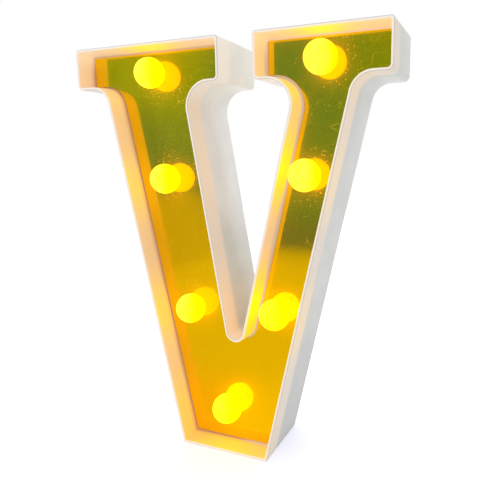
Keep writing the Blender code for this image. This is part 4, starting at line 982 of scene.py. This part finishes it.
def cross_recess(centre, head_y, turn):
    """Cutter for a cross recess: a plus-shaped plug, narrower at its bottom, sunk in the crown."""
    bm = bmesh.new()
    along = Vector((math.cos(turn), 0.0, math.sin(turn)))
    across = Vector((-along.z, 0.0, along.x))
    rings = []
    for y, reach, half in RECESS_RINGS:
        middle = Vector((centre.x, head_y + y, centre.z))
        arm = ((reach, half), (half, half), (half, reach))
        plus = []
        for quarter in range(4):
            for a, b in arm:
                for _ in range(quarter):
                    a, b = -b, a
                plus.append(bm.verts.new(middle + along * a + across * b))
        rings.append(plus)
    bm.faces.new(rings[0])
    bm.faces.new(list(reversed(rings[1])))
    count = len(rings[0])
    for index in range(count):
        following = (index + 1) % count
        bm.faces.new((rings[0][following], rings[0][index], rings[1][index], rings[1][following]))
    bmesh.ops.recalc_face_normals(bm, faces=bm.faces)
    return bm


def lathe(bm, centre, profile, sides, way):
    """Turn a profile of (radius, height) about the Y axis, heights counted along way from the centre."""
    angles = [2.0 * math.pi * index / sides for index in range(sides)]
    rings = []
    for radius, height in profile:
        ring = []
        for angle in angles if radius > AXIS_RADIUS else angles[:1]:
            x, z = centre.x + radius * math.cos(angle), centre.z + radius * math.sin(angle)
            ring.append(bm.verts.new((x, centre.y + way * height, z)))
        rings.append(ring)
    for near, far in zip(rings, rings[1:]):
        for index in range(sides):
            following = (index + 1) % sides
            corners = [near[index % len(near)], near[following % len(near)],
                       far[following % len(far)], far[index % len(far)]]
            bm.faces.new(list(dict.fromkeys(corners)))


def cover_screws():
    """Six pan-head screws with cross recesses, each turned its own way."""
    look = screw_material()
    for number in range(1, SCREW_COUNT + 1):
        low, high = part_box(f"cover_screw_{number}")
        head_radius = (high.x - low.x) / 2.0
        under_y = high.y - SCREW_HEAD_HEIGHT
        centre = Vector(((low.x + high.x) / 2.0, under_y, (low.z + high.z) / 2.0))
        bm = bmesh.new()
        lathe(bm, centre, screw_profile(head_radius, under_y - low.y), SCREW_SIDES, 1.0)
        screw = piece(f"cover_screw_{number}_cross", bm, [look], "casing",
                      [f"cover_screw_{number}"])
        carve(screw, cross_recess(centre, high.y, math.radians(SCREW_TURN_START + SCREW_TURN_STEP * number)))


def finish_cad_nodes():
    """Materials for the CAD nodes that stay as they are."""
    rear, steel, cell = back_material("cover_plastic", COVER_WHITE), steel_material(), cell_material()
    plain = {name: plain_material(name, *look) for name, look in PLAIN_LOOKS.items()}
    looks = {
        "mirror_plate": mirror_material(),
        "back_cover": rear,
        "battery_door": rear,
        "switch_slider": plain["slider_black"],
        "switch_body": steel,
        "wire_positive": plain["wire_red"],
        "wire_negative": plain["wire_black"],
        "lead_battery": plain["lead_black"],
        "lead_switch": plain["lead_black"],
        "resistor": plain["resistor_body"],
    }
    for name, node in frame["nodes"].items():
        look = looks.get(name)
        if name.startswith("led_"):
            look = plain["led_epoxy"]
        elif name.startswith("battery_") and name != "battery_door":
            look = cell
        elif name.startswith(("contact_", "spring_")):
            look = steel
        if look is not None:
            for slot in node.material_slots:
                slot.material = look


# Studio

FLOOR_RADIUS = 6.0
FLOOR_GREY = (0.80, 0.80, 0.80)
FLOOR_LIGHT = (0.80, 0.82, 1.0)
FLOOR_STRENGTH = 0.475
FLOOR_ROUGHNESS = 0.9
FLOOR_SPECULAR = 0.1
WORLD_WHITE = (1.0, 1.0, 1.0)
WORLD_STRENGTH = 0.80
WORLD_STRENGTH_SEEN = 1.0

# Lamps: name, place, point that it is aimed at, side of the square and power
LAMPS = (
    ("key", (-1.05, -0.34, 0.34), (0.0, 0.0, 0.12), 0.6, 3.0),
    ("rear", (-0.25, 1.15, 0.45), (0.0, 0.02, 0.12), 0.8, 3.6),
)


def stage_sheet(name, corners, faces, surface):
    """A stage mesh of flat faces."""
    mesh = bpy.data.meshes.new(name)
    mesh.from_pydata(corners, [], faces)
    mesh.materials.append(surface)
    made = bpy.data.objects.new(name, mesh)
    bpy.context.scene.collection.objects.link(made)
    return made


def seen_directly(graph):
    """1 for camera, glossy and transmission rays, which all show the white background."""
    rays = graph.node('ShaderNodeLightPath').outputs
    seen = graph.math('MAXIMUM', rays['Is Camera Ray'], rays['Is Glossy Ray'])
    return graph.math('MAXIMUM', seen, rays['Is Transmission Ray'])


def floor():
    """A plain pale floor that runs out to white and keeps the letter's soft shadow. Its own light is
    a little blue, against the yellow that the globes throw on it."""
    made, graph, shader = principled("pale_floor")
    graph.feed(shader.inputs['Base Color'], FLOOR_GREY)
    shader.inputs['Roughness'].default_value = FLOOR_ROUGHNESS
    shader.inputs['Specular IOR Level'].default_value = FLOOR_SPECULAR
    graph.feed(shader.inputs['Emission Color'], FLOOR_LIGHT)
    strength = graph.math('MULTIPLY', seen_directly(graph), FLOOR_STRENGTH)
    graph.feed(shader.inputs['Emission Strength'], strength)
    signs = ((-1.0, -1.0), (1.0, -1.0), (1.0, 1.0), (-1.0, 1.0))
    stage_sheet("floor", [(x * FLOOR_RADIUS, y * FLOOR_RADIUS, 0.0) for x, y in signs], [(0, 1, 2, 3)], made)


def emission_material(name, build):
    """An Emission material whose colour a function builds."""
    made = bpy.data.materials.new(name)
    made.use_nodes = True
    made.node_tree.nodes.clear()
    graph = Graph(made.node_tree)
    light = graph.node('ShaderNodeEmission')
    out = graph.node('ShaderNodeOutputMaterial')
    graph.feed(light.inputs['Color'], build(graph))
    graph.tree.links.new(light.outputs[0], out.inputs['Surface'])
    return made


def card(name, corners, faces, build):
    """A glowing stage sheet that shows in reflections alone."""
    made = stage_sheet(name, corners, faces, emission_material(name, build))
    made.visible_camera = False
    made.visible_diffuse = False
    made.visible_transmission = False
    made.visible_volume_scatter = False
    made.visible_shadow = False


# Painted reflections: glowing sheets seen only in the mirror, painted as the room in front of it. Ranges of
# place over which their colours turn, and the colours, which the gold film then tints
FAR_WALL_Z = (0.18, 0.48)
FAR_WALL_LOW = (0.07, 0.25, 0.95)
FAR_WALL_HIGH = (0.26, 0.455, 0.05)
CLOSE_WALL_Z = (0.0, 0.10)
CLOSE_WALL_LOW = (0.02, 0.08, 1.00)
CLOSE_WALL_HIGH = (0.09, 0.28, 0.80)
CLOSE_WALL_X = (-0.13, -0.06)
CLOSE_WALL_RIGHT = (0.165, 0.35, 0.15)
FAR_TO_CLOSE_X = (-0.9, -0.5)
TABLE_LEFT_X = (-0.315, -0.275)
TABLE_LEFT_Y = (-1.70, -1.35)
TABLE_LEFT_EDGE = (0.58, 0.49, 0.0)
TABLE_LEFT = (0.66, 0.525, 0.0)
TABLE_GOLD_Y = (-0.62, -0.45)
TABLE_GOLD_EDGE = (0.35, 0.33, 0.0)
TABLE_GOLD = (0.84, 0.71, 0.0)
TABLE_FOOT_Y = (-0.12, -0.02)
TABLE_FOOT_X = (-0.045, 0.0)
TABLE_FOOT_LEFT = (1.04, 0.61, 0.02)
TABLE_FOOT_RIGHT = (1.08, 0.84, 0.02)

# Far edge of the floor card that shows the table in the mirror, from left to right, and the wall card that
# stands on it
TABLE_EDGE = ((-1.53, -1.145), (-1.153, -1.777), (-0.300, -0.600), (-0.161, -0.584), (0.40, -0.51))
WALL_CARD_HEIGHT = 3.0
CARD_LIFT = 0.2 * MM


def painted_dark_reflection(graph):
    """Painted reflection of the room's olive wall: brighter higher up and far off on the left, dark close
    by.
    """
    x, _, z = graph.axes()
    far = graph.mix(graph.ramp(z, *FAR_WALL_Z), FAR_WALL_LOW, FAR_WALL_HIGH)
    close = graph.mix(graph.ramp(z, *CLOSE_WALL_Z), CLOSE_WALL_LOW, CLOSE_WALL_HIGH)
    close = graph.mix(graph.ramp(x, *CLOSE_WALL_X), close, CLOSE_WALL_RIGHT)
    return graph.mix(graph.ramp(x, *FAR_TO_CLOSE_X), far, close)


def painted_warm_reflection(graph):
    """Painted reflection of a warm table in front of the letter: orange at its foot, gold further off,
    darker to the left and towards its far edge."""
    x, y, _ = graph.axes()
    left = graph.mix(graph.ramp(y, *TABLE_LEFT_Y), TABLE_LEFT_EDGE, TABLE_LEFT)
    gold = graph.mix(graph.ramp(y, *TABLE_GOLD_Y), TABLE_GOLD_EDGE, TABLE_GOLD)
    colour = graph.mix(graph.ramp(x, *TABLE_LEFT_X), left, gold)
    foot = graph.mix(graph.ramp(x, *TABLE_FOOT_X), TABLE_FOOT_LEFT, TABLE_FOOT_RIGHT)
    return graph.mix(graph.ramp(y, *TABLE_FOOT_Y), colour, foot)


def reflection_cards():
    """Glowing sheets seen only in the letter's mirror, with painted reflections of a dim wall and a warm
    table in front of it.
    """
    low = [(x, y, CARD_LIFT) for x, y in TABLE_EDGE]
    high = [(x, y, WALL_CARD_HEIGHT) for x, y in TABLE_EDGE]
    count = len(TABLE_EDGE)
    faces = [(at, at + 1, at + 1 + count, at + count) for at in range(count - 1)]
    card("mirror_wall_card", low + high, faces, painted_dark_reflection)
    near = [(TABLE_EDGE[-1][0], FRONT_Y, CARD_LIFT), (TABLE_EDGE[0][0], FRONT_Y, CARD_LIFT)]
    card("mirror_table_card", low + near, [tuple(range(count + 2))], painted_warm_reflection)


def world():
    """Even white surroundings at a plain level, white where they are seen."""
    made = bpy.data.worlds.new("studio")
    bpy.context.scene.world = made
    made.use_nodes = True
    graph = Graph(made.node_tree)
    background = made.node_tree.nodes["Background"]
    graph.feed(background.inputs['Color'], WORLD_WHITE)
    strength = graph.ramp(seen_directly(graph), 0.0, 1.0, WORLD_STRENGTH, WORLD_STRENGTH_SEEN)
    graph.feed(background.inputs['Strength'], strength)


def lamp(name, place, target, size, energy):
    """A soft square lamp aimed at a point."""
    light = bpy.data.lights.new(name, 'AREA')
    light.size = size
    light.energy = energy
    made = bpy.data.objects.new(name, light)
    made.location = place
    made.rotation_euler = (Vector(target) - Vector(place)).to_track_quat('-Z', 'Y').to_euler()
    bpy.context.scene.collection.objects.link(made)


# Camera, fitted to the photograph
CAMERA_PLACE = (132.1 * MM, -243.34 * MM, 161.26 * MM)
CAMERA_TURN = math.radians(22.834)
CAMERA_DOWN = math.radians(8.658)
CAMERA_ROLL = math.radians(-0.448)
IMAGE_SIZE = 480.0
FOCAL_PIXELS = 506.42
CENTRE_PIXEL = (285.91, 233.21)
SENSOR_WIDTH = 36.0
CLIP_START = 0.01


def camera():
    """The photograph's view, from a camera fitted to the letter's outline and globes."""
    lens = bpy.data.cameras.new("camera")
    lens.sensor_width = SENSOR_WIDTH
    lens.lens = FOCAL_PIXELS / IMAGE_SIZE * SENSOR_WIDTH
    lens.shift_x = (IMAGE_SIZE / 2.0 - CENTRE_PIXEL[0]) / IMAGE_SIZE
    lens.shift_y = (CENTRE_PIXEL[1] - IMAGE_SIZE / 2.0) / IMAGE_SIZE
    lens.clip_start = CLIP_START
    made = bpy.data.objects.new("camera", lens)
    turn = (Matrix.Rotation(CAMERA_TURN, 4, 'Z') @ Matrix.Rotation(math.pi / 2.0 - CAMERA_DOWN, 4, 'X')
            @ Matrix.Rotation(CAMERA_ROLL, 4, 'Z'))
    made.matrix_world = Matrix.Translation(CAMERA_PLACE) @ turn
    bpy.context.scene.collection.objects.link(made)
    bpy.context.scene.camera = made


bpy.context.scene.view_settings.view_transform = 'Standard'
camera()
letter_casing()
lit_globes()
cover_screws()
finish_cad_nodes()
floor()
reflection_cards()
world()
for settings in LAMPS:
    lamp(*settings)
